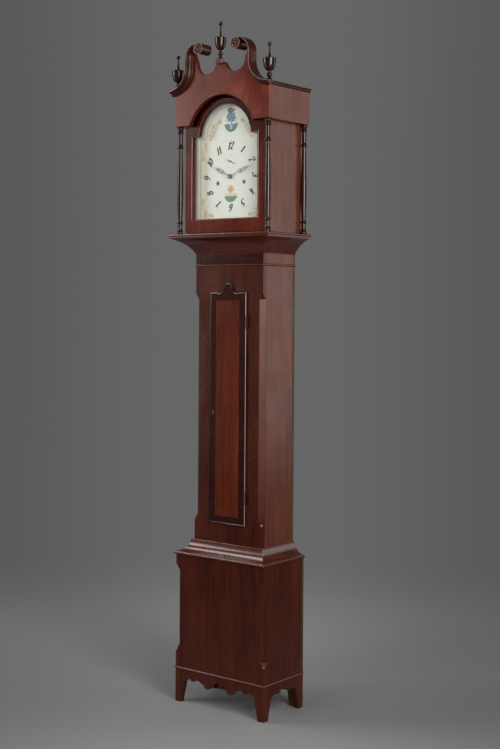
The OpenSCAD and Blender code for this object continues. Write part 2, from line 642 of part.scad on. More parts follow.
// Pendulum and anchor
swing_y = 75;
swing_z = dial_cz + anchor_p[1];
swing_l = 994;
bob_z = swing_z - swing_l;
bob_t = 26;
rod_h = 6;
module anchor() color(steel) at(anchor_p) {
  arbor(plate_y0 - 1, swing_y - 8);
  slab_xz(11, 15) translate([0, -22]) difference() {
    circle(r = 21);
    circle(r = 17.2);
    polygon([[0, 0], [40, 44], [40, -40], [-40, -40], [-40, 44]]);
  }
  rod_y(0, 0, 11, 15, 4);
  box([-2, swing_y - 10, -108], [2, swing_y - 8, 3]);
  for (s = [-1, 1]) box([s * 5 - 1, swing_y - 10, -108], [s * 5 + 1, swing_y + 5, -104]);
  box([-6, swing_y - 10, -108], [6, swing_y - 8, -104]);
}
module back_cock() color(brass) {
  pair() box([14, plate_y3, swing_z - 12], [26, plate_y3 + 5, swing_z + 14]);
  difference() {
    box([-26, plate_y3, swing_z + 14], [26, swing_y + 12, swing_z + 20]);
    box([-2.2, swing_y - 6, swing_z + 10], [2.2, swing_y + 6, swing_z + 24]);
  }
}
module pendulum_rod() color(steel) {
  box([-4, swing_y - 4, swing_z + 21], [4, swing_y + 4, swing_z + 27]);
  box([-0.4, swing_y - 4, swing_z - 14], [0.4, swing_y + 4, swing_z + 21]);
  box([-rod_h / 2, swing_y - 2, bob_z - bob_r], [rod_h / 2, swing_y + 2, swing_z - 14]);
  rod_z(0, swing_y, bob_z - bob_r - 34, bob_z - bob_r + 6, 1.8);
}
bob_dome = bob_t / 2 - 1.5;
bob_dome_r = (bob_r * bob_r + bob_dome * bob_dome) / (2 * bob_dome);
function bob_face() = arc(0, bob_t / 2 - bob_dome_r, bob_dome_r, 89, acos(bob_r / bob_dome_r), 8);
module pendulum_bob() color(brass) difference() {
  translate([0, swing_y, bob_z]) rotate([90, 0, 0]) rotate_extrude()
    polygon(concat([[0, bob_t / 2]], bob_face(), [for (i = [8:-1:0]) [bob_face()[i][0], -bob_face()[i][1]]],
      [[0, -bob_t / 2]]));
  box([-rod_h / 2, swing_y - 2, bob_z - bob_r - 1], [rod_h / 2, swing_y + 2, bob_z + bob_r + 1]);
}
module rating_nut() color(brass) difference() {
  union() {
    rod_z(0, swing_y, bob_z - bob_r - 14, bob_z - bob_r - 8, 9);
    rod_z(0, swing_y, bob_z - bob_r - 20, bob_z - bob_r - 14, 5);
  }
  rod_z(0, swing_y, bob_z - bob_r - 40, bob_z - bob_r, 1.85);
}
// Strike train
module strike_great_wheel() color(brass) at(strike_p)
  wheel(78, strike_m, aim(strike_p, pin_p), 49, 52, 3.1);
module pin_wheel() color(brass) at(pin_p) {
  arbor(plate_y0 - 1, plate_y3 + 1);
  pinion(8, strike_m, aim(pin_p, strike_p) + 180 / 8, 46, 54);
  wheel(64, pin_m, aim(pin_p, gather_p), 43, 45, arbor_r);
  for (k = [0:7]) rotate([0, k * 45 + 20, 0]) rod_y(22.6, 0, 40.5, 43, 0.9);
}
module gathering_wheel() color(brass) at(gather_p) {
  arbor(plate_y0 - 1, plate_y3 + 1);
  pinion(8, pin_m, aim(gather_p, pin_p) + 180 / 8, 39, 47);
  wheel(56, gather_m, aim(gather_p, fly_p), 30, 31.5, arbor_r);
}
module fly() color(brass) at(fly_p) {
  arbor(plate_y0 - 1, plate_y3 + 1);
  pinion(7, gather_m, aim(fly_p, gather_p) + 180 / 7, 27, 35);
  difference() {
    box([-12, 2, -0.6], [12, 24, 0.6]);
    arbor(0, 30);
  }
}
bell_x = 20;
bell_y = 41;
bell_r = 48;
bell_z = dial_cz + 108;
head_z = 116;
module hammer() color(steel) at(hammer_p) {
  arbor(plate_y0 - 1, plate_y3 + 1);
  slab_xz(bell_y - 2, bell_y + 2) {
    polygon([[-2, 0], [2, 0], [26.5, head_z - 48], [22.5, head_z - 48]]);
    polygon([[-2, 2], [3, -2], [9.6, -12.4], [7.6, -13.6], [-2, -3]]);
  }
  translate([14.5, bell_y, head_z - 42]) rotate([0, 90, 0]) cylinder(h = 22, r = 7);
}
module bell() color("#b5a070") {
  translate([bell_x, bell_y, bell_z]) rotate_extrude() polygon(concat([[bell_r, 0]],
    arc(0, 0, bell_r - 2, 8, 84, 12), [[3, 46], [0, 46], [0, 43]], arc(0, -1, bell_r - 5.5, 84, 3, 12)));
  rod_z(bell_x, bell_y, bell_z + 46, bell_z + 60, 2.5);
  box([bell_x - 5, bell_y - 5, bell_z + 54], [bell_x + 5, swing_y + 30, bell_z + 58]);
  box([bell_x + 25, plate_y3, plate_z1 - 40], [bell_x + 35, plate_y3 + 4, plate_z1 + 22]);
  box([bell_x + 25, plate_y3, plate_z1 + 18], [bell_x + 35, swing_y + 30, plate_z1 + 22]);
  box([bell_x + 25, swing_y + 26, plate_z1 + 18], [bell_x + 35, swing_y + 30, bell_z + 58]);
  box([bell_x - 5, swing_y + 26, bell_z + 54], [bell_x + 35, swing_y + 30, bell_z + 58]);
}

base_front_panel();
base_sides();
base_bottom();
backboards();
front_skirt();
side_skirts();
base_mouldings();
waist_stiles();
waist_rails();
waist_sides();
waist_top_mouldings();
seat_board();
waist_hinge_leaves();
movement_plates();
plate_pillars();
dial();
back_cock();
bell();
hood_base_frame();
hood_sides();
hood_columns();
scroll_board();
hood_top();
cornice_mouldings();
rosettes();
finials();
dial_mask();
hood_door_frame();
hood_door_glass();
hood_door_pivots();
waist_door();
waist_door_lip();
door_hinge_leaves();
door_lock();
lock_bolt();
centre_wheel();
minute_hand();
hour_wheel();
hour_hand();
minute_wheel();
third_wheel();
escape_wheel();
seconds_hand();
going_great_wheel();
going_barrel();
strike_barrel();
going_weight();
strike_weight();
going_gut();
strike_gut();
anchor();
pendulum_rod();
pendulum_bob();
rating_nut();
strike_great_wheel();
pin_wheel();
gathering_wheel();
fly();
hammer();
seat_bolts();
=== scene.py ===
"""Tall case clock: looks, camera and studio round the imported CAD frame. Metres, +Z up, front towards -Y."""
import random
from math import asin, atan2, cos, degrees, hypot, pi, radians, sin, sqrt, tau

import bmesh
import bpy
from mathutils import Euler, Matrix, Vector


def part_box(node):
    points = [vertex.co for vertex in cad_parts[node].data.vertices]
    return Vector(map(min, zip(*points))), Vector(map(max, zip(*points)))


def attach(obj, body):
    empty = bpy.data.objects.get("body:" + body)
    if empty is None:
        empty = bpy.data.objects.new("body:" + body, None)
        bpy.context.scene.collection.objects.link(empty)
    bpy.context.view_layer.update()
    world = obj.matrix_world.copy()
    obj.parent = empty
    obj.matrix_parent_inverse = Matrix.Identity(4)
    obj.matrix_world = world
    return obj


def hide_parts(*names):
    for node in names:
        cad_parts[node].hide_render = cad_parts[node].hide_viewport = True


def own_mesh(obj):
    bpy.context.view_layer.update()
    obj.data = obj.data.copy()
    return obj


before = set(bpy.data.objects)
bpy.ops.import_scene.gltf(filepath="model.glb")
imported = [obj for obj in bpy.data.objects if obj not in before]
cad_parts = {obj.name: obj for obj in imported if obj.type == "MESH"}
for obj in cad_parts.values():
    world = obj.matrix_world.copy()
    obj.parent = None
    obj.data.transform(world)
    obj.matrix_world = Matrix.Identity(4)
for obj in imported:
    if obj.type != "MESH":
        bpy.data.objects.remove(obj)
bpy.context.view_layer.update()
rng = random.Random(7)
MM = 0.001


# ---- places, from the CAD frame (mm)
def span(node):
    """Lowest and highest corner of a CAD node, in millimetres."""
    lo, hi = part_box(node)
    return lo * 1000, hi * 1000


WHEEL_LO, WHEEL_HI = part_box("centre_wheel")
DIAL_CZ = WHEEL_LO.z * 500 + WHEEL_HI.z * 500
DIAL_FACE = span("dial")[0].y
NECK_LO, NECK_HI = span("cornice_mouldings")
SCROLL_LO, SCROLL_HI = span("scroll_board")
COLUMN_LO, COLUMN_HI = span("hood_columns")
DOOR_LO = span("hood_door_frame")[0]
WAIST_LO, WAIST_HI = span("waist_door")
STILE_LO, STILE_HI = span("waist_stiles")
BASE_LO, BASE_HI = span("base_front_panel")
ARCH_Z = 2072.4
OPEN_HW, OPEN_Z0, OPEN_Z1, OPEN_R, OPEN_CZ = 152, 1784, 2088, 122, 2079
WIND_X, WIND_Z = 61.3, DIAL_CZ - 22
SECONDS_Z = DIAL_CZ + 55
GUT_Y = 24.0
CORNICE_Z = 2261
ASTRAGAL_Z = 1616


# ---- shape helpers
def polar(r, a, cx=0.0, cy=0.0):
    """The point at radius r and angle a round a centre."""
    return (cx + r * cos(a), cy + r * sin(a))


def arc(cx, cy, r, a0, a1, n=16):
    """Points on a circle from angle a0 to a1, in degrees."""
    return [polar(r, radians(a0 + (a1 - a0) * i / n), cx, cy) for i in range(n + 1)]


def circle(cx, cy, r, n):
    """n points all round a circle."""
    return [polar(r, tau * i / n, cx, cy) for i in range(n)]


def smooth_curve(points, steps=6):
    """A Catmull-Rom curve through the points."""
    last = len(points) - 1
    out = []
    for i in range(last):
        near = [points[min(max(i + k, 0), last)] for k in (-1, 0, 1, 2)]
        for t in (s / steps for s in range(steps)):
            out.append(
                tuple(
                    0.5 * (2 * b + (c - a) * t + bend * t**2 + (3 * b - a - 3 * c + d) * t**3)
                    for a, b, c, d in zip(*near)
                    for bend in (2 * a - 5 * b + 4 * c - d,)
                )
            )
    return out + [tuple(points[-1])]


def put(name, data):
    """A new object in the scene."""
    obj = bpy.data.objects.new(name, data)
    bpy.context.scene.collection.objects.link(obj)
    return obj


class Shape:
    """A mesh being built, in millimetres."""

    def __init__(self):
        self.verts, self.faces = [], []

    def grid(self, rings, closed=False):
        """Joins rings of points by quads, and where closed the last ring to the first."""
        base, n = len(self.verts), len(rings[0])
        for ring in rings:
            self.verts.extend(ring)
        for j in range(len(rings) if closed else len(rings) - 1):
            k = base + (j + 1) % len(rings) * n
            for i in range(n):
                after = (i + 1) % n
                self.faces.append((base + j * n + i, base + j * n + after, k + after, k + i))
        return self

    def cap(self, ring, flip=False):
        base = len(self.verts)
        self.verts.extend(ring)
        face = tuple(range(base, base + len(ring)))
        self.faces.append(face[::-1] if flip else face)

    def tube(self, rings):
        """A closed skin round a row of rings."""
        self.grid(rings)
        self.cap(rings[0], flip=True)
        self.cap(rings[-1])
        return self

    def hoop(self, profile, cx, cz, n):
        """A turned ring round an axis along Y. The profile is (radius, depth)."""
        return self.grid([[(x, y, z) for x, z in circle(cx, cz, r, n)] for r, y in profile], closed=True)

    def slab(self, outline, y0, y1):
        """A plate in X and Z between two depths."""
        return self.tube([[(x, y, z) for x, z in outline] for y in (y0, y1)])

    def block(self, lo, hi):
        return self.slab([(lo[0], lo[2]), (hi[0], lo[2]), (hi[0], hi[2]), (lo[0], hi[2])], lo[1], hi[1])

    def blocks(self, x0, x1, lo, hi):
        """The same block on the left and the right. lo and hi are (depth, height)."""
        for s in (-1, 1):
            a, b = sorted((s * x0, s * x1))
            self.block((a, *lo), (b, *hi))

    def lathe(self, profile, centre, axis="Z", segments=64):
        """A turned solid along Z or Y. The profile is (radius, height) up the axis."""
        rings = []
        for r, h in profile:
            points = [(c, s, h) if axis == "Z" else (c, h, -s) for c, s in circle(0, 0, r, segments)]
            rings.append([tuple(a + b for a, b in zip(p, centre)) for p in points])
        return self.tube(rings)

    def ribbon(self, path, width, y0, y1, place=lambda p: p):
        """A flat strip along a path in X and Z. width(t, direction) is its breadth at t from 0 to 1."""
        rings, n = [], len(path)
        for i, p in enumerate(path):
            a, b = path[max(i - 1, 0)], path[min(i + 1, n - 1)]
            d = (b[0] - a[0], b[1] - a[1])
            size = hypot(*d) or 1
            d = (d[0] / size, d[1] / size)
            w = width(i / (n - 1), d) / 2
            a = place((p[0] - d[1] * w, p[1] + d[0] * w))
            b = place((p[0] + d[1] * w, p[1] - d[0] * w))
            rings.append([(a[0], y0, a[1]), (b[0], y0, b[1]), (b[0], y1, b[1]), (a[0], y1, a[1])])
        return self.tube(rings)

    def wire(self, path, r, sides=8):
        """A round bar along a path of 3-D points."""
        rings, up = [], Vector((0.13, 0.41, 0.9))
        for i, p in enumerate(path):
            d = (Vector(path[min(i + 1, len(path) - 1)]) - Vector(path[max(i - 1, 0)])).normalized()
            up = (up - d * up.dot(d)).normalized()
            other = d.cross(up)
            rings.append([tuple(Vector(p) + r * (up * c + other * s)) for c, s in circle(0, 0, 1, sides)])
        return self.tube(rings)

    def piece(self, name, material, body, slot, replaces=(), smooth=32):
        """The finished object, riding on a CAD body."""
        mesh = bpy.data.meshes.new(name)
        mesh.from_pydata([tuple(c * MM for c in v) for v in self.verts], [], self.faces)
        mesh.materials.append(material)
        obj = put(name, mesh)
        clean(mesh)
        mesh.shade_smooth()
        mesh.set_sharp_from_angle(angle=radians(smooth))
        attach(obj, body)
        if replaces:
            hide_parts(*replaces)
        return obj


def clean(mesh):
    """Welds doubled points and turns every face outwards."""
    bm = bmesh.new()
    bm.from_mesh(mesh)
    bmesh.ops.remove_doubles(bm, verts=bm.verts, dist=2e-6)
    bmesh.ops.dissolve_degenerate(bm, edges=bm.edges, dist=1e-6)
    bmesh.ops.recalc_face_normals(bm, faces=bm.faces)
    bm.to_mesh(mesh)
    bm.free()


# ---- materials
EVEN = (1, 1, 1)


def grey(v):
    return (v, v, v)


class Look:
    """The shader nodes of a new material, or of the world."""

    def __init__(self, name, world=False):
        self.owner = (bpy.data.worlds if world else bpy.data.materials).new(name)
        self.owner.use_nodes = True
        self.tree = self.owner.node_tree
        self.shader = self.tree.nodes["Background" if world else "Principled BSDF"]

    def feed(self, socket, value):
        """Links a socket to another one, or gives it a number, an axis or a colour."""
        if isinstance(value, bpy.types.NodeSocket):
            self.tree.links.new(value, socket)
        else:
            socket.default_value = (*value, 1) if socket.type == "RGBA" else value

    def add(self, kind, inputs, output=0, **settings):
        """One output of a new node. inputs goes from a socket's name or number to what feeds it."""
        node = self.tree.nodes.new("ShaderNode" + kind)
        for name, value in settings.items():
            setattr(node, name, value)
        for key, value in inputs.items():
            self.feed(node.inputs[key], value)
        return node.outputs[output]

    def finish(self, inputs):
        """Feeds the shader itself, and returns the material."""
        for key, value in inputs.items():
            self.feed(self.shader.inputs[key], value)
        return self.owner

    def place(self, space="Object"):
        return self.add("TexCoord", {}, space)

    def axis(self, axis, space="Object"):
        return self.add("SeparateXYZ", {"Vector": self.place(space)}, axis)

    def noise(self, scale, stretch=EVEN, detail=4, rough=0.55, shift=(0, 0, 0), warp=0.0):
        """A noise field in object space. A low number in stretch draws the pattern out along that axis."""
        spot = self.add("Mapping", {"Vector": self.place(), "Scale": stretch, "Location": shift})
        inputs = {"Vector": spot, "Scale": scale, "Detail": detail, "Roughness": rough, "Distortion": warp}
        return self.add("TexNoise", inputs, "Fac")

    def ramp(self, source, *stops):
        node = self.tree.nodes.new("ShaderNodeValToRGB")
        elements = node.color_ramp.elements
        while len(elements) < len(stops):
            elements.new(0.5)
        for element, (at, colour) in zip(elements, stops):
            element.position = at
            element.color = (*colour, 1)
        self.feed(node.inputs["Fac"], source)
        return node.outputs["Color"]

    def greys(self, source, low, high):
        return self.ramp(source, (0.3, grey(low)), (0.7, grey(high)))

    def mix(self, factor, a, b, mode="MIX"):
        return self.add("Mix", {0: factor, 6: a, 7: b}, 2, data_type="RGBA", blend_type=mode)

    def calc(self, operation, a, b=0.0):
        return self.add("Math", {0: a, 1: b}, operation=operation)

    def ranged(self, value, span_in, span_out, curve="SMOOTHSTEP"):
        names = ("Value", "From Min", "From Max", "To Min", "To Max")
        return self.add("MapRange", dict(zip(names, (value, *span_in, *span_out))), interpolation_type=curve)

    def offset(self, space, axis):
        """Distance from the middle plane, measured along an axis."""
        inputs = {0: self.place(space), 1: axis}
        return self.calc("ABSOLUTE", self.add("VectorMath", inputs, "Value", operation="DOT_PRODUCT"))

    def bump(self, source, strength, distance):
        return self.add("Bump", {"Strength": strength, "Distance": distance, "Height": source}, "Normal")


def rub_edges(look, colour, lip_highlight):
    """Painted highlight: a paler colour on the lip's faces turned right, on the opening side, and turned up
    at its head, where the lamps catch the rolled lip.
    """
    faces = []
    for axis, beyond in (("X", 0.03), ("Z", 1.2)):
        part = look.calc("GREATER_THAN", look.axis(axis), beyond)
        faces.append(look.calc("MULTIPLY", look.axis(axis, "Normal"), part))
    highlight_faces = look.ramp(look.calc("MAXIMUM", *faces), (0.48, grey(0.0)), (0.74, grey(1.0)))
    return look.mix(highlight_faces, colour, lip_highlight)


def wood(
    name, palette, grain="Z", figure=0.35, gloss=0.21, coat=0.0, shine=0.32, shift=(0, 0, 0),
    flame=None, tint=(1.0, 0.72, 0.62), lip_highlight=None, head=None, nosing=None,
):
    """Polished mahogany: ribbon figure, dark growth streaks, open pores, worn polish.

    The colour given as rubbed is a painted highlight on faces turned right and up, head (height, shade)
    paints shade over the piece's top and nosing (depth, colour) paints a highlight along its foremost edge.
    """
    dark, mid, light = palette
    look = Look(name)
    long, fine = ([k if axis == grain else 1 for axis in "XYZ"] for k in (0.07, 0.02))
    streak = look.noise(46, long, 6, 0.62, shift, 0.6)
    colour = look.ramp(streak, (0.3, dark), (0.5, mid), (0.72, light))
    cloud = look.noise(5.5, (1, 1, 0.6), 3, 0.5, shift, 1.2)
    colour = look.mix(figure, colour, look.ramp(cloud, (0.32, dark), (0.55, mid), (0.75, flame or light)))
    pores = look.ramp(look.noise(620, fine, 2, 0.5, shift), (0.36, grey(0.45)), (0.46, grey(1.0)))
    colour = look.mix(0.8, colour, pores, "MULTIPLY")
    # Painted highlight on the faces turned right and up.
    if lip_highlight:
        colour = rub_edges(look, colour, lip_highlight)
    # Painted shade: the colour darkens from 9 cm below the given height upwards, standing in for the shade
    # under the frieze.
    if head:
        height, shade = head
        fade = look.ranged(look.axis("Z"), (height - 0.09, height), (1.0, shade))
        colour = look.mix(1.0, colour, fade, "MULTIPLY")
    # Painted highlight along the foremost 1.2 mm of the piece.
    if nosing:
        depth, pale = nosing
        edge = look.ranged(look.axis("Y"), (depth, depth + 0.0012), (0.85, 0.0))
        colour = look.mix(edge, colour, pale)
    inputs = {
        "Base Color": colour,
        "Roughness": look.greys(look.noise(9, EVEN, 5, 0.6, shift), gloss - 0.04, gloss + 0.08),
        "Specular IOR Level": shine,
        "Specular Tint": tint,
        "Coat Weight": coat,
        "Coat Roughness": 0.16,
        "Coat IOR": 1.5,
        "Normal": look.bump(look.mix(0.25, pores, streak), 0.09, 0.0003),
    }
    return look.finish(inputs)


def metal(name, colour, tarnish, rough=0.28, metallic=1.0):
    """Metal with fine wear, tarnish spots and handling marks."""
    look = Look(name)
    lines = look.noise(900, EVEN, 3, 0.6)
    inputs = {
        "Base Color": look.ramp(look.noise(60, EVEN, 5, 0.65), (0.38, tarnish), (0.62, colour)),
        "Roughness": look.greys(lines, rough - 0.07, rough + 0.1),
        "Metallic": metallic,
        "Normal": look.bump(lines, 0.1, 0.0001),
    }
    return look.finish(inputs)


def paint(name, colour, aged, rough=0.5, age_scale=14.0, shine=0.5):
    """Brushed oil paint, yellowed in patches."""
    look = Look(name)
    cloud = look.noise(age_scale, EVEN, 5, 0.6, (3, 1, 2), 0.4)
    fine = look.noise(700, (1, 1, 0.3), 3, 0.6)
    inputs = {
        "Base Color": look.ramp(cloud, (0.45, colour), (0.72, aged)),
        "Roughness": look.greys(fine, rough - 0.06, rough + 0.08),
        "Specular IOR Level": shine,
        "Normal": look.bump(fine, 0.05, 0.0002),
    }
    return look.finish(inputs)


def dial_enamel():
    """Off-white japanned ground, yellower and dirtier towards the edges."""
    look = Look("dial_ground")
    calc, across = look.calc, look.axis("X")
    x = calc("ABSOLUTE", calc("MULTIPLY", across, 1 / 0.15))
    z = calc("MULTIPLY", calc("SUBTRACT", look.axis("Z"), DIAL_CZ * MM), 1 / 0.23)
    up = calc("MULTIPLY", calc("POWER", calc("ABSOLUTE", z), 2.0), 0.55)
    reach = calc("SUBTRACT", calc("ADD", calc("POWER", x, 2.6), up), calc("MULTIPLY", across, 1.4))
    cloud = look.noise(15, EVEN, 5, 0.62, (0, 0, 4), 0.8)
    edge = calc("ADD", calc("MULTIPLY", reach, 0.5), calc("MULTIPLY", calc("SUBTRACT", cloud, 0.5), 1.5))
    clean_white, yellow, brown = (0.72, 0.75, 0.66), (0.74, 0.69, 0.5), (0.62, 0.49, 0.28)
    ground = look.ramp(edge, (0.35, clean_white), (0.62, yellow), (0.88, brown))
    speck = look.ramp(look.noise(130, EVEN, 5, 0.7), (0.3, grey(0.8)), (0.44, grey(1.0)))
    fine = look.noise(420, EVEN, 4, 0.7)
    inputs = {
        "Base Color": look.mix(0.7, ground, speck, "MULTIPLY"),
        "Roughness": look.greys(fine, 0.32, 0.46),
        "Normal": look.bump(fine, 0.06, 0.0002),
    }
    return look.finish(inputs)


def glass():
    """Old crown glass: faintly green and wavy."""
    look = Look("old_glass")
    wave = look.noise(16, (1, 1, 0.5), 2, 0.5)
    look.owner.surface_render_method = "BLENDED"
    inputs = {
        "Base Color": look.ramp(wave, (0.3, (0.8, 0.86, 0.84)), (0.7, (0.88, 0.92, 0.9))),
        "Roughness": look.greys(wave, 0.03, 0.06),
        "Alpha": 0.07,
        "Normal": look.bump(wave, 0.15, 0.002),
    }
    return look.finish(inputs)


# Wood colours: (dark, middle, light)
RED = ((0.062, 0.007, 0.0026), (0.112, 0.014, 0.005), (0.185, 0.03, 0.009))
DEEP = ((0.024, 0.004, 0.002), (0.052, 0.0084, 0.0038), (0.085, 0.015, 0.0064))
# SIDE and BASE_SIDE are lighter copies of the case's mahogany for the side boards: partly the boards' own
# tone, partly painted light, the lit sides against the shaded front.
SIDE = ((0.066, 0.0155, 0.0072), (0.11, 0.0275, 0.013), (0.155, 0.041, 0.0195))
PANEL = ((0.04, 0.0055, 0.0018), (0.084, 0.0125, 0.0036), (0.135, 0.024, 0.0066))
BAND = ((0.01, 0.003, 0.002), (0.022, 0.005, 0.003), (0.042, 0.009, 0.005))
# BASE_SIDE is darker than SIDE as painted shade, for the base's sides that get less light than the waist's.
BASE_SIDE = ((0.028, 0.004, 0.0016), (0.055, 0.0085, 0.0032), (0.085, 0.0145, 0.0056))
HOOD_DOOR = ((0.05, 0.005, 0.002), (0.092, 0.01, 0.0036), (0.145, 0.019, 0.0064))
MOULD = ((0.04, 0.006, 0.003), (0.08, 0.012, 0.006), (0.125, 0.02, 0.009))
SCROLL = ((0.018, 0.0032, 0.0018), (0.036, 0.0056, 0.0028), (0.062, 0.0105, 0.0048))
PINE = ((0.04, 0.022, 0.013), (0.072, 0.041, 0.024), (0.11, 0.066, 0.04))
FLAME = (0.3, 0.075, 0.02)
SHEEN = (1.0, 0.9, 0.86)
# Depth and colour of a painted highlight along the scrolls' front edge.
SCROLL_EDGE_HIGHLIGHT = (NECK_LO.y / 1000 + 0.0004, (0.24, 0.17, 0.14))
SCROLL_TINT = (1.0, 0.88, 0.84)

case_front = wood("mahogany_front", DEEP, shift=(0, 0, 1))
case_side = wood("mahogany_side", SIDE, gloss=0.26, shift=(2, 0, 0), tint=(1.0, 0.97, 0.96))
base_side_wood = wood("mahogany_base_side", BASE_SIDE, shift=(6, 0, 0))
scroll_wood = wood("mahogany_scroll", SCROLL, "X", gloss=0.3, shine=0.4, tint=SCROLL_TINT, nosing=SCROLL_EDGE_HIGHLIGHT)
frieze_wood = wood("mahogany_figured", RED, figure=0.8, flame=FLAME, shift=(0, 5, 2))
door_wood = wood("mahogany_crossband", BAND, "X", shine=0.2)
panel_wood = wood("mahogany_panel", PANEL, figure=0.3, shine=0.26, shift=(1, 0, 3))
turned_wood = wood("mahogany_turned", BAND, gloss=0.24, coat=0.22, tint=SHEEN)
# The lip's paler colour on faces turned right and up is a painted highlight.
lip_wood = wood("mahogany_lip", BAND, gloss=0.2, coat=0.3, lip_highlight=(0.32, 0.23, 0.19))
mould_x = wood("mahogany_moulding_x", MOULD, "X", gloss=0.22, coat=0.45, tint=SHEEN)
# The hood door's arched head is darkened by painted shade.
hood_wood = wood("mahogany_hood_door", HOOD_DOOR, shine=0.17, shift=(4, 0, 0), figure=0.25, head=(2.09, 0.42))
pine = wood("aged_pine", PINE, gloss=0.62)
brass = metal("aged_brass", (0.36, 0.25, 0.1), (0.15, 0.09, 0.04), 0.36)
dark_brass = metal("blackened_brass", (0.075, 0.05, 0.028), (0.035, 0.022, 0.014), 0.42)
brass_bright = metal("polished_brass", (0.75, 0.54, 0.22), (0.52, 0.34, 0.13), 0.2)
steel = metal("polished_steel", (0.34, 0.34, 0.35), (0.16, 0.14, 0.13), 0.3)
hand_steel = metal("blackened_steel", (0.007, 0.007, 0.009), (0.016, 0.012, 0.01), 0.5, metallic=0.0)
iron = metal("cast_iron", (0.06, 0.058, 0.058), (0.1, 0.055, 0.035), 0.55, metallic=0.7)
bell_metal = metal("bell_metal", (0.58, 0.47, 0.3), (0.4, 0.3, 0.17), 0.24)
gut_cord = paint("gut_line", (0.34, 0.24, 0.12), (0.22, 0.14, 0.06), 0.55, 300)
dial_ground = dial_enamel()
# The mask's paint is greyer than the dial's off-white ground: partly its own colour, partly painted shade of
# the recess behind the door's frame.
mask_paint = paint("mask_paint", (0.46, 0.45, 0.4), (0.36, 0.32, 0.25), 0.5, 12)
ink = paint("numeral_black", (0.006, 0.006, 0.008), (0.02, 0.018, 0.016), 0.55, 260, shine=0.1)
gilt = paint("gilt_gesso", (0.62, 0.47, 0.22), (0.42, 0.29, 0.13), 0.45, 70)
leaf_green = paint("paint_leaf_green", (0.03, 0.115, 0.045), (0.015, 0.06, 0.035), 0.5, 160)
grass_green = paint("paint_grass_green", (0.045, 0.19, 0.05), (0.08, 0.23, 0.07), 0.5, 180)
blue = paint("paint_blue", (0.04, 0.12, 0.26), (0.1, 0.23, 0.36), 0.5, 170)
teal = paint("paint_teal", (0.035, 0.18, 0.19), (0.03, 0.1, 0.09), 0.5, 150)
peach = paint("paint_peach", (0.78, 0.6, 0.4), (0.64, 0.36, 0.18), 0.5, 190)
rose_pink = paint("paint_rose", (0.36, 0.17, 0.07), (0.2, 0.09, 0.04), 0.5, 200)
pale_blue = paint("paint_pale_blue", (0.34, 0.52, 0.62), (0.22, 0.4, 0.52), 0.5, 150)
pane = glass()


def dress(material, *nodes, bevel=0.0):
    """Gives CAD nodes their finish and, where asked, softened edges."""
    for name in nodes:
        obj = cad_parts[name]
        obj.data.materials.clear()
        obj.data.materials.append(material)
        if bevel:
            obj.modifiers.new("weld", "WELD").merge_threshold = 1e-5
            edges = obj.modifiers.new("edges", "BEVEL")
            edges.width = bevel * MM
            edges.segments = 2
            edges.limit_method = "ANGLE"
            edges.angle_limit = radians(40)
            edges.harden_normals = True


dress(case_front, "base_front_panel", "waist_stiles", "waist_rails", "front_skirt", bevel=0.7)
dress(case_side, "waist_sides", "hood_sides", "hood_top", bevel=0.7)
dress(base_side_wood, "base_sides", "side_skirts", bevel=0.7)
dress(frieze_wood, "scroll_board", bevel=0.8)
dress(pine, "base_bottom", "backboards", "seat_board", bevel=0.8)
dress(door_wood, "waist_door", bevel=0.5)
dress(hood_wood, "hood_door_frame", bevel=0.8)
dress(case_front, "dial_mask", bevel=0.3)
dress(dial_ground, "dial")
dress(pane, "hood_door_glass")
dress(dark_brass, "waist_hinge_leaves", "door_hinge_leaves", "door_lock", "hood_door_pivots", bevel=0.2)
dress(brass, "movement_plates", "back_cock", bevel=0.3)
dress(brass_bright, "centre_wheel", "hour_wheel", "minute_wheel", "third_wheel", "escape_wheel", "fly")
dress(brass_bright, "going_great_wheel", "strike_great_wheel", "pin_wheel", "gathering_wheel")
dress(steel, "seat_bolts", "lock_bolt", "anchor", "hammer", "pendulum_rod", bevel=0.15)
dress(gut_cord, "going_gut", "strike_gut")
# The waist door's inner face shows the long grain, not the crossbanding
door_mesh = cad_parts["waist_door"].data
door_mesh.materials.append(case_front)
for face in door_mesh.polygons:
    face.material_index = int(face.normal.y > 0.5)


# ---- mouldings
def three_sides(profile, hw, yf, yb):
    """A moulding mitred round the front and both sides. profile is (distance out, height)."""
    corners = ((-hw, yb, -1, 0), (-hw, yf, -1, -1), (hw, yf, 1, -1), (hw, yb, 1, 0))
    return Shape().tube([[(x + sx * out, y + sy * out, z) for out, z in profile] for x, y, sx, sy in corners])


def base_moulding():
    """Cove on the base with a small step above it, and the bead at the foot of the base."""
    hi = span("base_mouldings")[1]
    hw, yf, yb = STILE_HI.x, STILE_LO.y, hi.y
    reach = hi.x - hw
    bottom, top = 547, hi.z
    cove = (
        [(-4, bottom), (reach - 1.2, bottom), (reach, bottom + 1.2), (reach, bottom + 6)]
        + [(reach - 1.5, bottom + 7)]
        + arc(reach + 1, bottom + 55, 46, 266, 184, 18)
        + [(6.5, bottom + 50)]
        + arc(3.6, bottom + 51.5, 2.6, -30, 120, 6)
        + [(-4, top)]
    )
    moulding = three_sides(cove, hw, yf, yb)
    moulding.piece("base_cove", mould_x, "case", "mahogany", ("base_mouldings",), 40)
    hw, yf, z = BASE_HI.x, BASE_LO.y, BASE_LO.z - 8
    bead = [(-4, z)] + arc(0.6, z + 4, 4, -80, 80, 10) + [(-4, z + 8)]
    three_sides(bead, hw, yf, yb).piece("base_bead", mould_x, "case", "mahogany", smooth=40)
    core = Shape().block((-hw + 0.2, yf + 0.2, z + 0.1), (hw - 0.2, yf + 18, z + 7.9))
    core.blocks(hw - 14, hw - 0.2, (yf + 18, z + 0.1), (yb, z + 7.9))
    core.piece("base_rail_cores", case_front, "case", "mahogany")


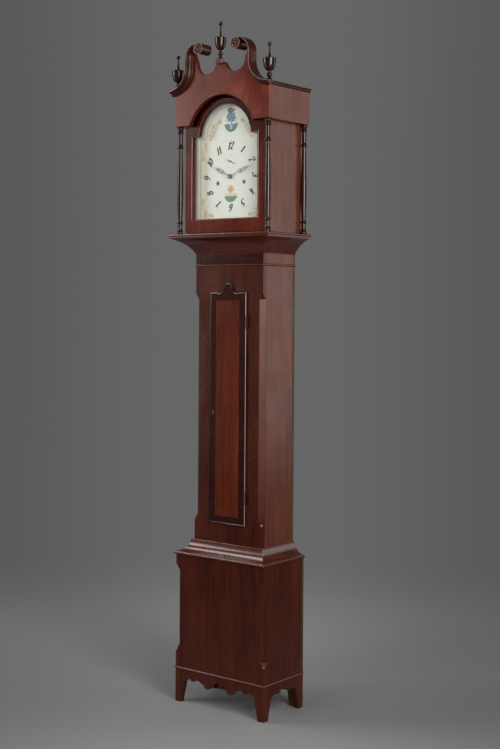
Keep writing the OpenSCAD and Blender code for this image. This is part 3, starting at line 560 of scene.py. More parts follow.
def waist_moulding():
    """Cove under the hood, with the rail behind it, and the astragal below."""
    hi = span("waist_top_mouldings")[1]
    hw, yf, yb, z = STILE_HI.x, STILE_LO.y, hi.y, STILE_HI.z
    cove = (
        [(-4, z), (1.2, z), (1.6, z + 1.4), (0.8, z + 3.0)]
        + arc(98, z - 47, 109, 151, 106.8, 20)
        + [(hi.x - hw - 0.4, hi.z - 0.2), (-4, hi.z)]
    )
    moulding = three_sides(cove, hw, yf, yb)
    moulding.piece("waist_cove", mould_x, "case", "mahogany", ("waist_top_mouldings",), 40)
    rail = Shape().block((-hw + 4, yf + 0.5, z + 0.1), (hw - 4, yf + 17.8, hi.z - 0.1))
    rail.piece("waist_cove_rail", case_front, "case", "mahogany")
    z0, z1 = ASTRAGAL_Z - 4.5, ASTRAGAL_Z + 4.5
    bead = [(-3, z0), (0.2, z0)] + arc(0.4, ASTRAGAL_Z, 3.4, -75, 75, 8) + [(0.2, z1), (-3, z1)]
    three_sides(bead, hw, yf, yb).piece("waist_astragal", mould_x, "case", "mahogany", smooth=40)


def hood_nosing():
    """Front and side members of the hood's base: a roll over a small fillet."""
    lo, hi = span("hood_base_frame")
    yf, z0, z1 = STILE_LO.y - 6, lo.z, hi.z
    profile = (
        [(-9, z0), (-1.8, z0), (-1.4, z0 + 0.5), (-1.4, z0 + 3.4), (-3.0, z0 + 4.2), (-3.2, z0 + 5.2)]
        + arc(-4.4, z1 - 4.8, 4.4, -62, 80, 12)
        + [(-5.0, z1), (-9, z1)]
    )
    shape = three_sides(profile, hi.x, lo.y, hi.y)
    inner = 8.5
    shape.block((-hi.x + inner, lo.y + inner, z0 + 0.05), (hi.x - inner, yf, z1 - 0.05))
    shape.blocks(STILE_HI.x + 2.5, hi.x - inner, (yf, z0 + 0.05), (hi.y, z1 - 0.05))
    shape.piece("hood_base_nosing", mould_x, "hood", "mahogany", ("hood_base_frame",), 40)


def veneers():
    """Dark band across the top of the waist, and the shaded inner faces of the rear feet."""
    hw, yf = STILE_HI.x, STILE_LO.y
    band = Shape().block((-hw - 0.3, yf - 0.3, ASTRAGAL_Z + 4.6), (hw + 0.2, yf + 0.6, STILE_HI.z - 0.2))
    band.piece("waist_top_band", door_wood, "case", "mahogany")
    side, back = BASE_HI.x, span("side_skirts")[1].y - 18
    outline = [(side - 18.2, 1), (side - 49.5, 1), (side - 61.5, 90), (side - 61.5, 121), (side - 18.2, 121)]
    for s, name in ((-1, "left"), (1, "right")):
        foot = Shape().slab([(s * x, z) for x, z in outline], back - 0.3, back + 0.5)
        foot.piece("rear_foot_face_" + name, pine, "case", "pine")


# ---- scrolled head
SWEEP_X, SWEEP_Z, SWEEP_R, SWEEP_END = NECK_HI.x, 2339, 78, 0.56
CURL_X, CURL_Z, CURL_R, CURL_START = 95, 2370, 55, 0.62
ROSE_X, ROSE_Z, ROSE_R = 86.5, 2403, 21
NECK_FRONT, DRUM_BACK = NECK_LO.y, NECK_LO.y + 58
BAND_DEPTH = SCROLL_HI.y - NECK_FRONT
# Section of the scroll: (distance in from the outer edge, depth behind the front)
NECK_SECTION = (
    [(0, BAND_DEPTH), (0, 3.2), (0.5, 1.7), (1.7, 0.5), (3.0, 0), (3.4, 0.4), (3.8, 2.6)]
    + arc(8.0, 3.4, 4.4, 185, 118, 6)
    + [(6.8, 7.8), (7.6, 8.2), (8.6, 8.4), (9.4, 9.2), (9.6, 10.6)]
    + arc(21.4, 11.0, 11.8, 178, 118, 8)
    + [(16.4, 22.0), (17.4, 22.6), (18.6, 23.0), (19.4, 24.2), (19.6, 25.6), (20, 27.9)]
    + [(8.1, 27.9), (8.1, BAND_DEPTH)]
)


def sweep_point(u, t):
    """A point u along the scroll, from 0 at its foot to 1 at the rosette, t in from its outer edge."""
    if u < SWEEP_END:
        return polar(SWEEP_R + t, radians(270 - 90 * u / SWEEP_END), SWEEP_X, SWEEP_Z)
    if u < CURL_START:
        f = (u - SWEEP_END) / (CURL_START - SWEEP_END)
        return (SWEEP_X - SWEEP_R - t, SWEEP_Z + (CURL_Z - SWEEP_Z) * f)
    return polar(CURL_R - t, radians(96 * (u - CURL_START) / (1 - CURL_START)), CURL_X, CURL_Z)


def scrolls():
    """The two moulded scrolls, the drums that they end in and the mouldings along the hood's sides."""
    shape = Shape()
    steps, y = 72, NECK_FRONT
    drum = [(0, y + 3), (ROSE_R - 3.2, y + 3), (ROSE_R - 3.0, y + 0.6), (ROSE_R - 2.4, y), (ROSE_R - 0.8, y)]
    drum += [(ROSE_R - 0.2, y + 0.8), (ROSE_R - 0.2, y + 3.0), (ROSE_R - 1.4, y + 4.0)]
    drum += [(ROSE_R - 1.4, DRUM_BACK - 1), (ROSE_R - 2.4, DRUM_BACK), (0, DRUM_BACK)]
    wall, z = SCROLL_HI.x, CORNICE_Z
    side = [(0, z), (8, z), (8, z - 2.8), (7.2, z - 3.4), (5.6, z - 3.8)]
    side += arc(1.6, z - 7.6, 4.4, 60, -40, 8) + [(2.4, z - 12), (1.4, z - 14), (0, z - 14)]
    for s in (-1, 1):
        rings = []
        for i in range(steps + 1):
            row = [(sweep_point(i / steps, t), d) for t, d in NECK_SECTION]
            rings.append([(s * x, y + d, height) for (x, height), d in row])
        shape.tube(rings)
        shape.lathe(drum, (s * ROSE_X, 0, ROSE_Z), "Y", 72)
        shape.tube([[(s * (wall + out), depth, h) for out, h in side] for depth in (SCROLL_HI.y, NECK_HI.y)])
    shape.piece("scroll_mouldings", scroll_wood, "hood", "mahogany", ("cornice_mouldings",), 38)


def rosettes():
    """Carved pinwheel rosettes: raised petals round a button."""
    shape = Shape()
    circles, spokes, petals, radius = 22, 120, 10, 17.6
    lo, hi = span("rosettes")
    for s in (-1, 1):
        rings = []
        for j in range(circles + 1):
            r = radius * j / circles
            rr = r / radius
            ring = []
            for i in range(spokes):
                a = tau * i / spokes
                if rr < 0.27:
                    h = 4.6 * sqrt(max(0.0, 1 - (rr / 0.28) ** 2) * 0.95 + 0.05)
                else:
                    lobe = abs(sin(petals / 2 * (a + s * 0.9 * rr)))
                    body = sin(pi * min(1.0, (rr - 0.25) / 0.72)) ** 0.6
                    h = 0.5 + 3.2 * body * (0.25 + 0.75 * lobe**0.7)
                x, z = polar(r, a, s * ROSE_X, ROSE_Z)
                ring.append((x, hi.y - min(h, hi.y - lo.y - 0.05), z))
            rings.append(ring)
        back = [(x, hi.y, z) for x, _, z in rings[-1]]
        shape.grid(rings + [back])
        shape.cap(back)
    shape.piece("carved_rosettes", mould_x, "hood", "dark_mahogany", ("rosettes",), 50)


def urn_profile(r, z, h):
    """A turned urn of rim radius r and height h: foot, knop, deep cup, flat lid, spire and ball."""
    ball = 0.055 * h
    foot = [(0, 0), (0.44, 0), (0.46, 0.006), (0.46, 0.02), (0.4, 0.034), (0.31, 0.055), (0.26, 0.085)]
    foot += [(0.24, 0.11), (0.32, 0.118), (0.4, 0.128), (0.43, 0.148), (0.42, 0.168), (0.36, 0.184)]
    foot += [(0.24, 0.196), (0.2, 0.212), (0.2, 0.232), (0.25, 0.246)]
    cup = [(0.28 + 0.7 * sin(radians(a)), 0.56 - 0.31 * cos(radians(a))) for a in range(0, 86, 6)]
    rim = [(0.98, 0.552), (1.0, 0.558), (1.0, 0.572), (0.96, 0.578), (0.9, 0.58), (0.86, 0.586)]
    lid = [(0.8, 0.588), (0.52, 0.592), (0.36, 0.6), (0.25, 0.626), (0.18, 0.67), (0.13, 0.74), (0.11, 0.86)]
    stem = [(r * a, z + h * b) for a, b in foot + cup + rim + smooth_curve(lid, 4)]
    globe = [polar(ball, radians(a), 0, z + h - ball) for a in range(-72, 90, 9)]
    return stem + globe + [(0, z + h)]


def finials():
    """Centre and side finials, the centre one on its plinth."""
    top, plinth_top = span("finials")[1].z, 2356
    centre_y, side_x = SCROLL_LO.y - 2, 213.5
    plinth = Shape()
    steps = ((13, 2340.2, 2346.2), (11.6, 2346.1, 2353.5), (12.2, 2353.4, 2354.6), (13, 2354.5, plinth_top))
    for w, z0, z1 in steps:
        back = centre_y + (2 if z0 == steps[0][1] else w)
        plinth.block((-w, centre_y - w, z0), (w, back, z1))
    plinth.piece("finial_plinth", mould_x, "hood", "mahogany")
    shape = Shape().lathe(urn_profile(21.6, plinth_top, top - plinth_top), (0, centre_y, 0))
    for s in (-1, 1):
        shape.lathe(urn_profile(24, CORNICE_Z, 136), (s * side_x, SCROLL_LO.y + 11, 0))
    shape.piece("turned_finials", turned_wood, "hood", "dark_mahogany", ("finials",), 34)


def columns():
    """Turned columns: stepped plinth, rings, swelling shaft and ringed capital."""
    z0, z1 = COLUMN_LO.z, COLUMN_HI.z
    h = z1 - z0
    base = [(0, 0), (11.8, 0), (12, 0.4), (12, 7.6), (11.4, 8.4), (9.6, 9.0), (9.0, 10.4)]
    base += arc(8.4, 14.6, 3.2, -60, 70, 8) + [(8.4, 19), (7.9, 21), (9.0, 30), (8.6, 36), (8.0, 39)]
    base += arc(8.4, 44.0, 3.4, -65, 65, 8) + [(8.4, 49), (7.8, 50.5)]
    shaft = [(7.8 + 3.2 * sin(pi * (1 - i / 30) ** 1.35), 52 + (h - 136) * i / 30) for i in range(31)]
    head = [(7.8, h - 82)] + arc(8.4, h - 76, 3.4, -65, 65, 8) + [(8.2, h - 70), (8.0, h - 62), (9.0, h - 30)]
    head += [(8.6, h - 26)] + arc(8.4, h - 20.5, 3.4, -65, 65, 8) + [(8.8, h - 15), (9.8, h - 12)]
    head += [(11.4, h - 9.4), (12, h - 8.6), (12, h - 0.4), (11.8, h), (0, h)]
    profile = [(r, z0 + z) for r, z in base + shaft + head]
    shape = Shape()
    for x in (12 - COLUMN_HI.x, COLUMN_HI.x - 12):
        for y in (COLUMN_LO.y + 12, COLUMN_HI.y - 12):
            shape.lathe(profile, (x, y, 0), "Z", 56)
    shape.piece("turned_columns", turned_wood, "hood", "dark_mahogany", ("hood_columns",), 34)


def sweep_on_front(outline, section, y_face, closed=False):
    """A moulding along an outline in X and Z. section is (distance inwards, depth in front of y_face)."""
    n, rings = len(outline), []
    for i, p in enumerate(outline):
        a = outline[(i - 1) % n] if closed or i else outline[0]
        b = outline[(i + 1) % n] if closed or i < n - 1 else outline[-1]
        d1 = Vector((p[0] - a[0], p[1] - a[1]))
        d2 = Vector((b[0] - p[0], b[1] - p[1]))
        d1 = d1.normalized() if d1.length > 1e-6 else d2.normalized()
        d2 = d2.normalized() if d2.length > 1e-6 else d1
        mid = (d1 + d2).normalized()
        stretch = 1 / max(0.5, mid.dot(d1))
        inward = Vector((-mid.y, mid.x)) * stretch
        rings.append([(p[0] + inward.x * t, y_face - d, p[1] + inward.y * t) for t, d in section])
    return Shape().grid(rings, closed=True) if closed else Shape().tube(rings)


def arched_outline(hw, z0, z1, r):
    """An arched opening like the hood door's, counter-clockwise from the front."""
    a = degrees(asin((z1 - OPEN_CZ) / r))
    return [(-hw, z0), (hw, z0), (hw, z1)] + arc(0, OPEN_CZ, r, a, 180 - a, 48) + [(-hw, z1)]


def hood_trim():
    """Bead round the door's opening, and the arch bead on the frieze."""
    quarter = [(0.2, -1.5), (0.2, 0.6)] + arc(2.0, 0.6, 1.4, 180, 20, 6)[1:] + [(4.2, 0.2), (4.6, -1.5)]
    outline = arched_outline(OPEN_HW + 5, OPEN_Z0 - 5, OPEN_Z1 + 5, OPEN_R + 5)
    shape = sweep_on_front(outline, quarter, DOOR_LO.y + 0.6, closed=True)
    shape.piece("door_opening_bead", mould_x, "hood_door", "mahogany", smooth=40)
    r = 158.4
    a = degrees(asin(57.6 / r))
    section = [(-3.2, -1.0), (-3.2, 0.6), (-2.6, 1.3), (-1.4, 1.6), (-0.4, 1.3), (0.2, 0.6), (0.2, -1.0)]
    bead = sweep_on_front(arc(0, ARCH_Z, r, a, 180 - a, 72), section, SCROLL_LO.y)
    bead.piece("frieze_arch_bead", mould_x, "hood", "mahogany", smooth=50)


def mask_liner():
    """Pale painted edge of the mask's opening, seen past the door's frame."""
    lo, hi = span("dial_mask")
    outline = arched_outline(OPEN_HW - 9, OPEN_Z0 + 3, OPEN_Z1 - 3, OPEN_R - 5)
    deep = hi.y - lo.y
    section = [(0.5, -deep), (0.5, 0.15), (-9.5, 0.15), (-9.5, -0.3), (-0.2, -0.3), (-0.2, -deep)]
    liner = sweep_on_front(outline, section, lo.y, closed=True)
    liner.piece("mask_liner", mask_paint, "hood", "painted_board")


# ---- waist door
def crest():
    """Right half of the door's shaped head, from the shoulder to the middle."""
    z = 1515
    return [(WAIST_HI.x, z), (49, z)] + arc(43, z + 18, 21, 270, 207, 10) + arc(0, z + 14, 20.5, 8, 90, 12)


def door_outline():
    """The waist door's edge, counter-clockwise from the front."""
    half = crest()
    left = [(-x, z) for x, z in reversed(half[:-1])]
    return [(WAIST_LO.x, WAIST_LO.z), (WAIST_HI.x, WAIST_LO.z)] + half + left


def waist_door_face():
    """The redder middle panel with its fine line, and the rolled lip round the door."""
    y = WAIST_LO.y
    hw, z0, z1 = 54, 700, 1487
    panel = [(-hw, z0), (hw, z0), (hw, z1), (-hw, z1)]
    Shape().slab(panel, y - 0.35, y + 0.4).piece("door_panel_veneer", panel_wood, "waist_door", "mahogany")
    line = sweep_on_front(panel, [(-1.1, -0.3), (-1.1, 0.45), (0, 0.45), (0, -0.3)], y, closed=True)
    line.piece("door_string_line", turned_wood, "waist_door", "dark_mahogany")
    roll = [(0, -0.4), (0, 0.2), (0.3, 0.7), (2.1, 2.5), (2.8, 2.9), (3.6, 2.95), (4.8, 2.3), (5.8, 1.1)]
    lip = sweep_on_front(door_outline(), roll + [(6.4, 0.4), (6.4, -0.4)], y, closed=True)
    lip.piece("door_rolled_lip", lip_wood, "waist_door", "dark_mahogany", ("waist_door_lip",), 45)


# ---- dial
PAINT_Y = DIAL_FACE - 0.16
PAINT_BACK = DIAL_FACE + 0.05


def pen(t, d, thick=7.4, thin=1.4, nib=radians(20)):
    """Breadth of a broad nib's stroke in direction d."""
    return thin + (thick - thin) * abs(d[0] * sin(nib) - d[1] * cos(nib))


def ellipse(cx, cy, rx, ry, a0=90, a1=450, n=24):
    return [(cx + rx * x, cy + ry * y) for x, y in arc(0, 0, 1, a0, a1, n)]


def straight(*points):
    """A pen stroke through points given in hundredths of a figure's height."""
    return [(x / 100, y / 100) for x, y in points]


def curve(*points):
    return smooth_curve(straight(*points))


# Each figure's width and its strokes
DIGITS = {
    "0": (0.54, ellipse(0.27, 0.5, 0.22, 0.47)),
    "1": (
        0.36,
        straight((6, 78), (16, 86), (22, 98)),
        straight((22, 98), (22, 0)),
        straight((8, 1), (36, 1)),
    ),
    "2": (
        0.54,
        curve((7, 72), (8, 90), (26, 99), (44, 88), (42, 64), (24, 34), (4, 5)),
        curve((4, 5), (17, 11), (34, 1), (50, 14)),
    ),
    "3": (
        0.5,
        curve((7, 80), (18, 97), (38, 93), (41, 74), (30, 57), (17, 53)),
        curve((17, 53), (38, 49), (45, 27), (35, 5), (17, 1), (4, 16)),
    ),
    "4": (0.54, straight((38, 0), (38, 99)), straight((38, 99), (3, 30)), straight((3, 30), (53, 30))),
    "5": (
        0.5,
        curve((13, 96), (28, 93), (46, 100)),
        straight((13, 96), (10, 56)),
        curve((10, 56), (28, 62), (44, 45), (41, 15), (21, 1), (4, 14)),
    ),
    "6": (
        0.5,
        curve(
            (42, 90), (30, 99), (14, 84), (5, 50), (9, 14),
            (26, 1), (43, 15), (43, 40), (29, 55), (10, 42),
        ),
    ),
    "7": (0.5, curve((5, 86), (17, 97), (32, 89), (50, 98)), curve((50, 98), (30, 55), (20, 0))),
    "8": (0.48, ellipse(0.25, 0.75, 0.16, 0.23), ellipse(0.25, 0.26, 0.2, 0.26)),
}
DIGITS["9"] = (0.5, [(0.5 - x, 1.0 - y) for x, y in DIGITS["6"][1]])


def painted(shape, name, colour, smooth=32):
    """A piece of paint on the dial."""
    shape.piece(name, colour, "case", "painted_iron", smooth=smooth)


def turned(a, cz=DIAL_CZ, lift=0.0):
    """Places (across, along) coordinates on the dial, along a line a degrees clockwise from upright."""
    c, s = cos(radians(a)), sin(radians(a))
    return lambda p: (p[0] * c + (p[1] + lift) * s, cz - p[0] * s + (p[1] + lift) * c)


def numerals():
    """Slanted hour figures, each with its foot towards the centre."""
    shape = Shape()
    tall, ring, slant, gap = 26.0, 113.0, 0.26, 0.06
    for hour in range(1, 13):
        text = str(hour)
        place = turned(30 * hour, lift=ring)
        x0 = -(sum(DIGITS[c][0] for c in text) + gap * (len(text) - 1)) / 2
        for char in text:
            width, *strokes = DIGITS[char]
            for stroke in strokes:
                path = [((x0 + px + slant * (py - 0.5)) * tall, (py - 0.5) * tall) for px, py in stroke]
                shape.ribbon(path, pen, PAINT_Y, PAINT_BACK, place)
            x0 += width + gap
    painted(shape, "hour_numerals", ink)


def minute_marks():
    """Dots round the chapter ring and the faint seconds ring."""
    shape = Shape()
    ring, seconds = 131.5, 23.4
    for i in range(60):
        a = tau * i / 60
        size, tick = (0.85, 1.6) if i % 5 else (1.5, 3.4)
        dot = arc(ring * sin(a), DIAL_CZ + ring * cos(a), size, 0, 330, 11)
        shape.slab(dot, PAINT_Y, PAINT_BACK)
        line = [(r * sin(a), SECONDS_Z + r * cos(a)) for r in (seconds, seconds - tick)]
        shape.ribbon(line, lambda t, d: 0.35, PAINT_Y, PAINT_BACK)
    painted(shape, "minute_dots", ink)


def blob(shape, cx, cz, rx, rz, turn=0.0, lift=0.0, wob=0.0):
    """A dab of paint: a low rounded ellipse."""
    c, s = cos(turn), sin(turn)
    edge = []
    for i in range(20):
        a = tau * i / 20
        k = 1 + wob * sin(3 * a + cx) * 0.5 + wob * rng.uniform(-0.5, 0.5)
        x, z = rx * k * cos(a), rz * k * sin(a)
        edge.append((cx + x * c - z * s, cz + x * s + z * c))
    mid = [((x + cx * 0.6) / 1.6, (z + cz * 0.6) / 1.6) for x, z in edge]
    y = PAINT_Y - lift
    steps = ((edge, PAINT_BACK), (edge, y + 0.06), (mid, y - 0.12))
    shape.tube([[(x, depth, z) for x, z in ring] for ring, depth in steps])


def leaf(shape, x, z, size, turn):
    """A pointed leaf with a raised midrib."""
    c, s = cos(turn), sin(turn)
    side = [(0, 0), (0.3, 0.17), (0.6, 0.16), (0.85, 0.07), (1, 0)]
    outline = side + [(u, -v) for u, v in reversed(side[1:-1])]
    rings = []
    for breadth, y in ((1, PAINT_BACK), (1, PAINT_Y), (0.25, PAINT_Y - 0.35)):
        flat = [(u * size, v * size * breadth) for u, v in outline]
        rings.append([(x + u * c - v * s, y, z + u * s + v * c) for u, v in flat])
    shape.tube(rings)


def spray(shape, points, size, curl=1):
    """A curved stem with pairs of leaves and a five-petalled flower at its end."""
    path = smooth_curve(points, 8)
    shape.ribbon(path, lambda t, d: 1.3 - 0.7 * t, PAINT_Y - 0.1, PAINT_BACK)
    n = len(path)
    for i in range(3, n - 2, 4):
        d = atan2(path[i + 1][1] - path[i][1], path[i + 1][0] - path[i][0])
        fade = 1 - 0.35 * i / n
        for s in (-1, 1):
            leaf(shape, *path[i], size * fade, d + s * (0.75 + 0.25 * rng.random()))
    for k in range(5):
        a = tau * k / 5 + 0.3 * curl
        blob(shape, *polar(size * 0.34, a, *path[-1]), size * 0.27, size * 0.2, a)
    blob(shape, *path[-1], size * 0.16, size * 0.16, lift=0.15)


def spandrels():
    """Gilt sprays in the corners and up both sides of the arch."""
    stems = (
        (15, 1, (132, 1797), (118, 1806), (122, 1824), (134, 1838), (131, 1856)),
        (13, -1, (130, 1795), (108, 1794), (94, 1802), (86, 1798)),
        (15, 1, (133, 2078), (120, 2066), (124, 2046), (134, 2030), (131, 2012)),
        (16, 1, (100, 2070), (92, 2092), (78, 2108), (66, 2130), (52, 2142)),
        (12, -1, (104, 2084), (96, 2112), (84, 2130)),
    )
    shape = Shape()
    for s in (-1, 1):
        for size, curl, *points in stems:
            spray(shape, [(s * x, z) for x, z in points], size, curl)
    painted(shape, "gilt_spandrels", gilt, 25)


def arch_picture():
    """A leafy tree over a round island with a pool, in plain painted dabs."""
    def foliage(shape, dabs, place, spread, dab, lift):
        for _ in range(dabs):
            a, r = rng.uniform(0, tau), sqrt(rng.random())
            x, z = spread[0] * r * cos(a), place + spread[1] * r * sin(a)
            blob(shape, x, z, *dab, rng.uniform(0, 3), rng.uniform(*lift), 0.3)

    mound, bank, water, crown, top, flowers = (Shape() for _ in range(6))
    mound.slab(arc(0, 2133, 31, 350, 190, 24), PAINT_Y, PAINT_BACK)
    for x in (-27, -20, -11, 11, 20, 27):
        blob(mound, x, 2129, 5.4, 3.4, 0, 0.05, 0.2)
    painted(mound, "picture_island", teal)
    bank.slab(arc(0, 2124, 21, 352, 188, 18), PAINT_Y - 0.08, PAINT_BACK)
    painted(bank, "picture_bank", leaf_green)
    fall = smooth_curve([(1, 2152), (-1.5, 2142), (1.5, 2131), (-1, 2121), (0, 2113)], 6)
    water.ribbon(fall, lambda t, d: 3.0 + 9.0 * t, PAINT_Y - 0.16, PAINT_BACK)
    painted(water, "picture_water", pale_blue)
    foliage(crown, 60, 2157, (19, 17), (5.0, 3.8), (0, 0.12))
    trunk = smooth_curve([(0, 2128), (1.5, 2136), (-1.0, 2146)], 6)
    crown.ribbon(trunk, lambda t, d: 4.2 - 1.6 * t, PAINT_Y - 0.2, PAINT_BACK)
    painted(crown, "picture_blue_tree", blue)
    foliage(top, 36, 2180, (15, 9), (4.8, 3.4), (0.05, 0.2))
    painted(top, "picture_tree_top", leaf_green)
    for k in range(11):
        side = -1 if k % 2 else 1
        blob(flowers, side * rng.uniform(19, 27), 2134 + rng.uniform(-2, 14), 2.8, 2.2, k, 0.1, 0.3)
    painted(flowers, "picture_flowers", gilt)


def lower_picture():
    """A small fanned shell on a peach ground, over a green half moon."""
    cz = DIAL_CZ - 71
    moon, ground, shell, ribs = (Shape() for _ in range(4))
    moon.slab(arc(0, cz + 9, 31.5, 343.4, 196.6, 26), PAINT_Y - 0.05, PAINT_BACK)
    painted(moon, "picture_green_moon", grass_green)
    for k in range(12):
        blob(ground, -24 + 4.4 * k, cz + 5.5 + 1.2 * sin(2.1 * k), 4.2, 4.4, k, 0.02, 0.25)
    painted(ground, "picture_peach_ground", peach)

    def ray(a, reach):
        return [(r * cos(a), cz + 8 + 1.7 * r * sin(a)) for r in reach]

    for k in range(7):
        a = radians(30 + 20 * k)
        front = PAINT_Y - 0.02 * k - 0.05
        shell.ribbon(ray(a, (3, 9, 15, 19)), lambda t, d: 1.6 + 4.4 * t, front, PAINT_BACK)
        blob(shell, 19.0 * cos(a), cz + 8 + 31.5 * sin(a), 3.0, 2.6, a, 0.08)
    painted(shell, "picture_shell", peach)
    for k in range(6):
        a = radians(40 + 20 * k)
        ribs.ribbon(ray(a, (4, 11, 18)), lambda t, d: 0.8 + 1.0 * t, PAINT_Y - 0.35, PAINT_BACK)
        blob(ribs, 11.5 * cos(a), cz + 8 + 20 * sin(a), 2.2, 2.0, a, 0.25, 0.2)
    painted(ribs, "picture_shell_ribs", rose_pink)


def winding_collets():
    """Dark rims round the winding holes."""
    y = PAINT_Y
    # The rims' near-black is partly tarnish, partly painted shade that widens the dark look of the winding
    # holes.
    rim = [(6.05, PAINT_BACK), (6.05, y - 0.25), (6.7, y - 0.35), (7.5, y), (7.5, PAINT_BACK)]
    shape = Shape()
    for s in (-1, 1):
        shape.hoop(rim, s * WIND_X, WIND_Z, 40)
    shape.piece("winding_hole_rims", dark_brass, "case", "brass")


def arbor_ends():
    """Blackened ends of the hands' arbor and of the two winding arbors."""
    front = span("minute_hand")[0].y
    parts = [("hands_pin", "minute_arbor", 0.0, DIAL_CZ, 3.4, front - 0.35, front + 0.2)]
    for s, body in ((-1, "strike_barrel"), (1, "going_barrel")):
        parts.append(("winding_end_" + body, body, s * WIND_X, WIND_Z, 3.2, DIAL_FACE - 2.2, DIAL_FACE + 1))
    for name, body, x, z, r, y0, y1 in parts:
        profile = [(0, y1), (r, y1), (r, y0 + 0.3), (r - 0.5, y0), (0, y0)]
        Shape().lathe(profile, (x, 0, z), "Y", 24).piece(name, hand_steel, body, "steel")


# ---- hands
def washer(shape, r_in, r_out, y0, y1, cz=DIAL_CZ):
    shape.hoop([(r_in, y1), (r_in, y0), (r_out - 0.25, y0), (r_out, y0 + 0.25), (r_out, y1)], 0.0, cz, 48)


def pierced_hand(name, node, body, length, angle, boss, bore):
    """A pierced steel hand: stem, two open scrolls, a pierced heart and a fine point."""
    lo, hi = span(node)
    shape = Shape()
    washer(shape, bore, boss, lo.y, hi.y)
    k = length / 118

    def stroke(points, wide, taper=0.0, steps=0, side=1):
        path = [(side * x, y * k) for x, y in points]
        path = smooth_curve(path, steps) if steps else path
        shape.ribbon(path, lambda t, d: wide - taper * t, lo.y, hi.y, turned(angle))

    stroke([(0, (boss - 0.6) / k), (0, 44)], 2.2, 0.7)
    for s in (-1, 1):
        stroke([(0, 42), (5.2, 47), (7.4, 53), (5.4, 58), (2.6, 56), (3.4, 52.5)], 1.3, 0.3, 6, s)
        stroke([(0, 47), (2.4, 60), (7.0, 68), (6.0, 75), (2.2, 74), (0, 70)], 1.25, 0, 6, s)
        stroke([(5.4, 75), (3.8, 80), (0, 86)], 1.2, 0, 5, s)
        stroke([(1.0, 84), (4.6, 87), (5.4, 91)], 1.3, 0.7, 5, s)
    stroke([(0, 69), (0, 92), (0, 117.6)], 1.7, 1.3)
    shape.piece(name, hand_steel, body, "steel", (node,), 40)


def seconds_hand():
    """A plain pointer with a round tail."""
    lo, hi = span("seconds_hand")
    shape = Shape()
    place = turned(115, SECONDS_Z)
    washer(shape, 1.6, 3.6, lo.y, hi.y, SECONDS_Z)
    shape.ribbon([(0, 3.0), (0, 26.8)], lambda t, d: 2.4 - 1.5 * t, lo.y, hi.y, place)
    shape.ribbon([(0, -3.0), (0, -11.6)], lambda t, d: 1.8 + 1.4 * t, lo.y, hi.y, place)
    shape.ribbon(ellipse(0, -12.6, 1.7, 1.7, n=16), lambda t, d: 1.0, lo.y, hi.y, place)
    shape.piece("seconds_pointer", hand_steel, "escape_arbor", "steel", ("seconds_hand",), 40)


def hands():
    pierced_hand("pierced_hour_hand", "hour_hand", "hour_pipe", 94, 296, 9, 5.5)
    pierced_hand("pierced_minute_hand", "minute_hand", "minute_arbor", 118, 70, 8, 1.6)
    seconds_hand()


# ---- movement, weights and pendulum
def pillars():
    """Turned plate pillars, dial feet and the motion stud."""
    plates = span("movement_plates")
    front, back = plates[0].y + 3, plates[1].y - 3
    long = back - front
    profile = [(0, 0), (5, 0), (5, 3), (3.6, 4.5), (3.2, 8)]
    profile += [(3.2 + 1.6 * sin(pi * i / 12), 10 + (long - 20) * i / 12) for i in range(13)]
    profile += [(3.2, long - 8), (3.6, long - 4.5), (5, long - 3), (5, long), (0, long)]
    y = DIAL_FACE
    foot = [(0, y + 1.5), (3, y + 1.5), (3, y + 4), (2.2, y + 6)]
    foot += [(2.2, front - 7), (3, front - 5), (3, front - 3), (0, front - 3)]
    shape = Shape()
    for s in (-1, 1):
        for x, z in ((16, -80), (40, 84)):
            shape.lathe([(r, front + h) for r, h in profile], (s * x, 0, DIAL_CZ + z), "Y", 32)
        for z in (-80, 82):
            shape.lathe(foot, (s * 66, 0, DIAL_CZ + z), "Y", 24)
    stud = [(0, -27), (0.9, -27), (1.2, -26.6), (1.2, front - 3), (0, front - 3)]
    shape.lathe(stud, (16.2, 0, DIAL_CZ - 32.4 * sin(radians(60))), "Y", 24)
    shape.piece("turned_pillars", brass_bright, "case", "brass", ("plate_pillars",), 35)


def barrels():
    """Grooved drums with ratchets and squares, and a few turns of gut on each."""
    for name, s in (("going_barrel", 1), ("strike_barrel", -1)):
        cx, cz = s * WIND_X, WIND_Z
        lo, hi = span(name)
        shape = Shape()
        drum = [(0, 4), (29, 4), (29, 5.6), (28.6, 6), (24.4, 6)]
        for i in range(20):
            drum += [(24.7, 7 + 1.5 * i), (24.1, 7.75 + 1.5 * i)]
        drum += [(24.7, 37.6), (28.6, 38), (29, 38.4), (29, 40), (9, 40), (9, 42), (0, 42)]
        shape.lathe(drum, (cx, 0, cz), "Y", 72)
        arbor = [(0, 41), (3, 41), (3, hi.y - 0.5), (2.4, hi.y), (0, hi.y)]
        shape.lathe(arbor, (cx, 0, cz), "Y", 32)
        shape.lathe([(0, -33), (3, -33), (3, 5), (0, 5)], (cx, 0, cz), "Y", 32)
        h = 2.1
        shape.block((cx - h, lo.y, cz - h), (cx + h, -32, cz + h))
        teeth = []
        for i in range(28):
            a = tau * i / 28
            teeth += [polar(9, a, cx, cz), polar(7.4, a + 0.03, cx, cz)]
        shape.slab(teeth, 42, 44.5)
        shape.piece(name + "_drum", brass, name, "brass", (name,), 35)
        turns = [(t / 32, tau * t / 32) for t in range(32 * 6 + 1)]
        coil = [(cx - 25.6 * cos(a), GUT_Y + 2.0 * turn, cz + 25.6 * sin(a)) for turn, a in turns]
        Shape().wire(coil, 0.8).piece(name + "_gut_turns", gut_cord, name, "gut")


